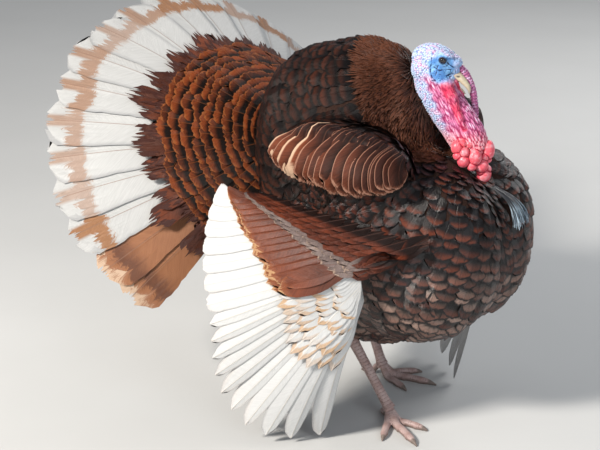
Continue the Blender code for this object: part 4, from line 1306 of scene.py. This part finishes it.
def bare_form():
    sources = [ball(in_head(spot), radii, HEAD_TURN, *counts) for spot, radii, *counts in SKULL]
    for side in (-1.0, 1.0):
        sources.append(ball(in_head((0.002, side * 0.014, 0.0088)), (0.014, 0.006, 0.0042), HEAD_TURN))
        sources.append(ball(in_head((-0.004, side * 0.015, -0.0125)), (0.013, 0.0058, 0.0052), HEAD_TURN))
        sources.append(lid_ring(side))
    points, faces = tube(*smooth_line(THROAT, 28), 40, AHEAD)
    sources.append((points * (1.0, THROAT_SQUEEZE, 1.0), faces))
    swell = 0.72 * (1.0 + 0.18 * np.sin(np.linspace(0.0, 5.0 * math.pi, 30)))
    for rows in (RED_FOLD, FAR_FOLD):
        line, radii = smooth_line(rows, 30)
        sources.append(tube(line, radii * swell, 16, AHEAD))
    across_way = np.array((0.0, 1.0, 0.0))
    for start, end in DEWLAP:
        way = unit(end - start)
        fold_turn = np.stack([np.cross(across_way, way), across_way, way], 1)
        reach = np.linalg.norm(end - start) * 0.55
        sources.append(ball((start + end) / 2.0, (0.014, 0.006, reach), fold_turn, 24, 24))
    return fused(sources, BARE_VOXEL, 7)


def bare_skin():
    """Bare head and neck with warts, folds and the marks that its colours follow."""
    points, faces = bare_form()
    normals = point_normals(points, faces)
    local = (points - HEAD_POINT) @ HEAD_TURN
    x, side, z = local[:, 0], np.abs(local[:, 1]), local[:, 2]
    wave = np.sin(local @ np.array((230.0, 90.0, 170.0))) + np.sin(local @ np.array((-150.0, 60.0, 310.0)))
    face = np.hypot((x - 0.002) / 0.0225, (z + 0.013) / 0.0235) + 0.05 * wave
    blue = smoothstep(1.16, 0.84, face) * smoothstep(0.006, 0.012, side)
    snout = np.hypot((x - 0.022) / 0.016, (z + 0.012) / 0.018)
    blue = np.maximum(blue, 0.6 * smoothstep(1.2, 0.8, snout))
    lid = smoothstep(0.0079, 0.0065, np.hypot(x, 1.12 * z)) * smoothstep(0.010, 0.016, side)
    flat = local * (1.0, 0.0, 1.0) + 0.0005 * wave[:, None]
    drawn = np.zeros(len(points))
    for line in FACE_LINES:
        drawn = np.maximum(drawn, line_share(flat, [(ahead, 0.0, up, LINE_HALF) for ahead, up in line]))
    broken = np.sin(local @ np.array((610.0, 0.0, -420.0))) + 0.5 * wave
    drawn = drawn * smoothstep(0.005, 0.010, side) * (1.0 - lid)
    drawn = drawn * (0.50 + 0.50 * smoothstep(-1.1, 0.5, broken))
    front = (points - THROAT[0, :3]) @ np.cross(NECK_WAY, (0.0, 1.0, 0.0))
    sides = smoothstep(-0.026, -0.046, z) * smoothstep(-0.018, 0.002, front + 0.004 * wave)
    red = np.maximum(line_share(points, RED_FOLD), line_share(points, FAR_FOLD))
    bead, tone = warts(points, 0.0050, 1.35, "beads")
    fold, fold_tone = warts(points, 0.0044, 0.22, "folds")
    crease, _ = warts(points, 0.0085, 1.0, "creases")
    crease = np.minimum(smoothstep(0.02, 0.16, crease), 1.0 - drawn)
    height = between(np.maximum(blue, drawn), between(sides, bead, fold), crease)
    height = between(red, height, fold * 0.8 + 0.2)
    rear = smoothstep(-0.002, -0.022, front) * smoothstep(-0.01, -0.05, z)
    depth = between(blue, between(sides, 0.0022 + 0.0008 * rear, 0.0022), 0.0012)
    depth = depth * (1.0 - 0.9 * lid) * (1.0 - 0.4 * red)
    points = points + normals * ((height - 0.6) * depth)[:, None]
    low = smoothstep(0.560, 0.525, points[:, 2])
    return points, faces, {
        "skin": np.stack([height, np.clip(np.maximum(blue, drawn), 0, 1), red, sides], 1),
        "tint": np.stack([between(sides, tone, fold_tone), lid, low], 1),
    }


def dress_skin(looks, body):
    """One skin: the bare head and neck and the flesh under the coat."""
    points, faces, marks = bare_skin()
    marks = {key: np.pad(rows, ((0, len(body[0])), (0, 0))) for key, rows in marks.items()}
    which = np.repeat((0, 1), (len(faces), len(body[1])))
    faces = np.concatenate([faces, body[1] + len(points)])
    mesh = new_mesh("skin", np.concatenate([points, body[0]]), faces, (looks["bare"], looks["under"]),
                    marks, None, which)
    piece("skin", mesh, "bare_skin", "torso", "nape", "thigh_right", "thigh_left", "throat", "head")


def dress_eyes(looks):
    for word, side in zip(SIDES, (-1.0, 1.0)):
        points, faces = ball((0.0, 0.0, 0.0), (EYE_RADIUS,) * 3, around=48, rings=32)
        ring = np.hypot(points[:, 0], points[:, 2])
        front = points[:, 1] * side > 0.0
        points[:, 1] += side * 0.0007 * smoothstep(0.0052, 0.0030, ring) * front
        spots = points @ HEAD_TURN.T + in_head((0.0, side * EYE_OUT, 0.0))
        form("eyeball_" + word, spots, faces, looks["eye"], {"eye": np.where(front, ring, 0.01)}, "eye",
             "eye_" + word)


def bill_half(rows, flat, keel):
    """One half of the bill: a closed tube, keeled along the ridge and flat inside."""
    around, steps = 24, 36
    spots, size = head_line(rows, steps)
    points, faces = tube(spots, size, around, HEAD_TURN[:, 2])
    lift = np.sin(np.linspace(0.0, 2.0 * math.pi, around, endpoint=False))
    high = np.where(lift * keel > 0, 1.0 + 0.12 * np.abs(lift) ** 6, flat)
    ring = points[:-2].reshape(steps, around, 3)
    up = -unit(np.cross(unit(np.gradient(spots, axis=0)), HEAD_TURN[:, 1]))[:, None]
    part = ((ring - spots[:, None]) * up).sum(2, keepdims=True)
    ring = ring + (part * (high[:, None] - 1.0)) * up
    marks = np.zeros((len(points), 3))
    marks[:, 0] = np.append(np.repeat(np.linspace(0.0, 1.0, steps), around), (0.0, 1.0))
    return np.concatenate([ring.reshape(-1, 3), points[-2:]]), faces, marks


def dress_bill(looks):
    points, faces, marks = bill_half(UPPER_BILL, 0.55, 1.0)
    for side in (-1.0, 1.0):
        hole = in_head((0.034, side * 0.0076, -0.0225))
        away = (points - hole) @ HEAD_TURN / (0.0044, 0.0050, 0.0020)
        near = smoothstep(1.0, 0.35, np.linalg.norm(away, axis=1))
        points -= near[:, None] * HEAD_TURN[:, 1] * side * 0.0022
        marks[:, 1] = np.maximum(marks[:, 1], near)
    form("bill_upper", points, faces, looks["horn"], {"bill": marks}, "horn", "upper_bill")
    points, faces, marks = bill_half(LOWER_BILL, 0.45, -1.0)
    form("bill_lower", points, faces, looks["horn"], {"bill": marks}, "horn", "lower_bill")


def dress_snood(looks):
    """An even tube with warts, and with rings round it."""
    line, radii = head_line(SNOOD, 90)
    points, faces = fused([tube(line, radii, 24, HEAD_TURN[:, 1])], 0.0009, 3)
    height, tone = warts(points, 0.0030, 1.0, "snood")
    run = run_along(line)[np.linalg.norm(points[:, None] - line[None], axis=2).argmin(1)]
    wave = np.sin(run / 0.0052 * 2.0 * math.pi + 2.5 * tone)
    rise = (height - 0.6) * 0.0009 + wave * 0.0009 * 0.7
    points = points + point_normals(points, faces) * rise[:, None]
    height = np.clip(0.5 * height + 0.25 + 0.25 * wave, 0.0, 1.0)
    form("snood_skin", points, faces, looks["snood"], {"flesh": height}, "red_skin", "snood")


def dress_wattles(looks):
    """Smooth bulbs with a crease between each two, and small ones set in among them."""
    bulbs = np.concatenate([BULBS, SMALL_BULBS[:, [0, 1, 2, 3, 3, 3]]])
    points, faces = fused([ball(bulb[:3], bulb[3:], around=24, rings=18) for bulb in bulbs], 0.0010, 1)
    away = np.stack([np.linalg.norm((points - bulb[:3]) / bulb[3:], axis=1) for bulb in bulbs], 1)
    away = np.sort(away, axis=1)
    height = smoothstep(0.0, 0.22, away[:, 1] - away[:, 0])
    points = points - point_normals(points, faces) * ((1.0 - height) * 0.0009)[:, None]
    form("wattle_skin", points, faces, looks["wattle"], {"flesh": height}, "red_skin", "wattles")


def dress_beard(looks):
    roll = dice("beard")
    count = 240
    root = (0.186, 0.0, 0.450)
    wide = roll.uniform(-1.0, 1.0, count)
    deep = roll.uniform(-1.0, 1.0, count)
    length = roll.uniform(0.6, 1.0, count)
    marks = (0.0, 0.35, 0.70, 1.0)
    path = ((-0.004, 0.006, 0.004), (0.030, 0.012, -0.010), (0.046, 0.018, -0.028), (0.053, 0.022, -0.052))
    half = np.array([0.6, 1.0, 1.0, 0.9, 0.8, 0.6, 0.25]) * 0.0007
    share = np.linspace(0.0, 1.0, len(half))
    spine = np.zeros((count, len(half), 3))
    for k in range(count):
        reach = curve_through(share * length[k], marks, path)
        spine[k, :, 0] = root[0] + reach[:, 0] + 0.006 * deep[k] * (0.3 + share)
        spine[k, :, 1] = root[1] + wide[k] * reach[:, 1] + roll.normal(0.0, 0.002) * share
        spine[k, :, 2] = root[2] + reach[:, 2] - 0.008 * np.abs(wide[k]) * share
    side, out = across(spine, np.zeros_like(spine) + AHEAD, roll.normal(0.0, 0.8, count))
    places = np.stack([wide * 0.4 + 0.5, deep * 0.4 + 0.5], 1)
    coat_piece("beard_bristles", vanes(spine, side, out, half, 3, "bristles", camber=0.3), "bristle",
               looks["bristle"], places, ("beard",))


# Feet

def foot_lines(left):
    """Shank and toes, each as rows of four."""
    hock, ankle, heading = LEGS[left]
    hock, ankle = np.array(hock), np.array(ankle)
    shank = [(*(hock + np.array((0.035, 0.0, 0.090)) * 0.30), 0.0095), (*hock, 0.0125)]
    shank += [(*between(share, hock, ankle), radius) for share, radius in SHANK]
    lines = [shank]
    for angle, length, radius, lift in TOES:
        toe = [(*ankle, radius)]
        for along, height, thick in TOE_MARKS:
            reach = length * along
            toe.append((ankle[0] + math.cos(heading + angle) * reach,
                        ankle[1] + math.sin(heading + angle) * reach,
                        radius * height + (lift if along < 0.3 else 0.0), radius * thick))
        lines.append(toe)
    return [smooth_line(rows, 60) for rows in lines]


def nearest_on(points, line):
    """The run along the line to each point's nearest place, and the distance to it."""
    near = np.linalg.norm(points[:, None] - line[None], axis=2)
    at = near.argmin(1)
    way = unit(np.gradient(line, axis=0))[at]
    return run_along(line)[at] + ((points - line[at]) * way).sum(1), near.min(1)


def dress_foot(left, looks):
    word = SIDES[left]
    lines = foot_lines(left)
    sources = [tube(line, radii, 20, UP if k else AHEAD) for k, (line, radii) in enumerate(lines)]
    for line, radii in lines[1:]:
        for share in TOE_PADS:
            k = int(share * 59)
            size = radii[k] * 1.14
            low = line[k] - (0.0, 0.0, radii[k] * 0.10)
            sources.append(ball(low, (size, size, size * 0.95), around=14, rings=10))
    points, faces = fused(sources, 0.0013, 2)
    normals = point_normals(points, faces)
    runs = [nearest_on(points, line) for line, _ in lines]
    best = np.stack([away - radii.mean() for (_, away), (_, radii) in zip(runs, lines)], 1).argmin(1)
    front = np.where(best == 0, normals @ np.array((0.85, -0.15, 0.1)), normals[:, 2])
    phase = np.choose(best, [run for run, _ in runs]) / np.where(best == 0, 0.0062, 0.0042)
    scute = smoothstep(1.0, 0.72, np.abs((phase % 1.0) - 0.5) * 2.0)
    small, tone = warts(points, 0.0030, 1.0, "scales" + word)
    band = smoothstep(0.15, 0.45, front)
    height = between(band, small, scute)
    rise = (height - 0.5) * between(band, 0.0005, 0.0009)
    chance = np.abs(np.sin(np.floor(phase) * 12.9898 + best * 4.1)) % 1.0
    points = points + normals * rise[:, None]
    points[:, 2] = np.maximum(points[:, 2], 0.0002 - SHIFT[2])
    claw = np.zeros(len(points))
    for number in range(1, len(lines)):
        along = runs[number][0] / run_along(lines[number][0])[-1]
        claw = np.maximum(claw, (best == number) * smoothstep(0.84, 0.88, along))
    # Where the toes face down they are painted darker: painted shade.
    low = smoothstep(0.35, -0.2, normals[:, 2]) * (best > 0)
    marks = np.stack([height, between(band, tone, chance), claw, low], 1)
    form("foot_skin_" + word, points, faces, looks["leg"], {"scale": marks}, "leg_skin", "foot_" + word)


# Stage and camera

CAMERA_TURN = math.radians(35.0)
CAMERA_RISE = math.radians(20.0)
CAMERA_FAR = 3.2
PIXELS_PER_METRE = 540.0
GROUND_PIXEL = (399.0, 401.0)
PHOTO_SIZE = (600.0, 450.0)
SENSOR = 36.0
FLOOR_HALF = 30.0
LIGHT_TARGET = Vector((0.0, 0.0, 0.35))
# Place, size, power and colour.
LIGHTS = {
    "key": ((-0.75, -3.0, 2.5), 0.6, 215.0, (1.0, 0.95, 0.88)),
    "fill": ((2.8, -1.6, 1.4), 1.6, 30.0, (0.88, 0.94, 1.0)),
    "back": ((0.5, 2.8, 2.2), 1.6, 55.0, (1.0, 1.0, 1.0)),
}


def make_stage():
    made, _, where = start_material("floor", 0.8)
    finish(made, blend(noise(where, 3.0, 4.0), (0.54, 0.54, 0.53), (0.59, 0.59, 0.58)))
    mesh = bpy.data.meshes.new("floor")
    corners = [(x * FLOOR_HALF, y * FLOOR_HALF, 0.0) for x, y in ((-1, -1), (1, -1), (1, 1), (-1, 1))]
    mesh.from_pydata(corners, [], [(0, 1, 2, 3)])
    mesh.materials.append(made)
    floor = new_object("floor", mesh)
    world = bpy.data.worlds.new("studio")
    world.use_nodes = True
    world.node_tree.nodes["Background"].inputs[0].default_value = (0.80, 0.86, 0.95, 1.0)
    world.node_tree.nodes["Background"].inputs[1].default_value = 0.30
    bpy.context.scene.world = world
    bpy.context.scene.view_settings.view_transform = "Standard"
    for name, (spot, size, power, colour) in LIGHTS.items():
        lamp = bpy.data.lights.new(name, "AREA")
        lamp.size = size
        lamp.energy = power
        lamp.color = colour
        light = new_object(name, lamp)
        light.location = spot
        light.rotation_euler = (LIGHT_TARGET - Vector(spot)).to_track_quat("-Z", "Y").to_euler()


def make_camera():
    """The photo's own view: its turn, rise, distance and scale."""
    c, s = math.cos(CAMERA_TURN), math.sin(CAMERA_TURN)
    cr, sr = math.cos(CAMERA_RISE), math.sin(CAMERA_RISE)
    right = Vector((c, s, 0.0))
    up = Vector((-s * sr, c * sr, cr))
    back = Vector((s * cr, -c * cr, sr))
    aim = right * ((PHOTO_SIZE[0] / 2.0 - GROUND_PIXEL[0]) / PIXELS_PER_METRE)
    aim += up * ((GROUND_PIXEL[1] - PHOTO_SIZE[1] / 2.0) / PIXELS_PER_METRE)
    camera = bpy.data.cameras.new("camera")
    camera.sensor_width = SENSOR
    camera.lens = SENSOR * PIXELS_PER_METRE * CAMERA_FAR / PHOTO_SIZE[0]
    made = new_object("camera", camera)
    made.matrix_world = (
        Matrix.Translation(Vector(SHIFT) + aim + back * CAMERA_FAR)
        @ Matrix((right, up, back)).transposed().to_4x4()
    )
    bpy.context.scene.camera = made


def main():
    looks = build_materials()
    make_stage()
    make_camera()
    skin, field, tree = body_skin()
    breast_and_back(skin, field, tree, looks)
    dress_nape(skin, field, tree, looks)
    dress_tail(looks)
    for left in (0, 1):
        dress_wing(left, looks)
        dress_shoulder(left, looks)
        dress_foot(left, looks)
    dress_skin(looks, skin)
    for dress in (dress_eyes, dress_bill, dress_snood, dress_wattles, dress_beard):
        dress(looks)


main()
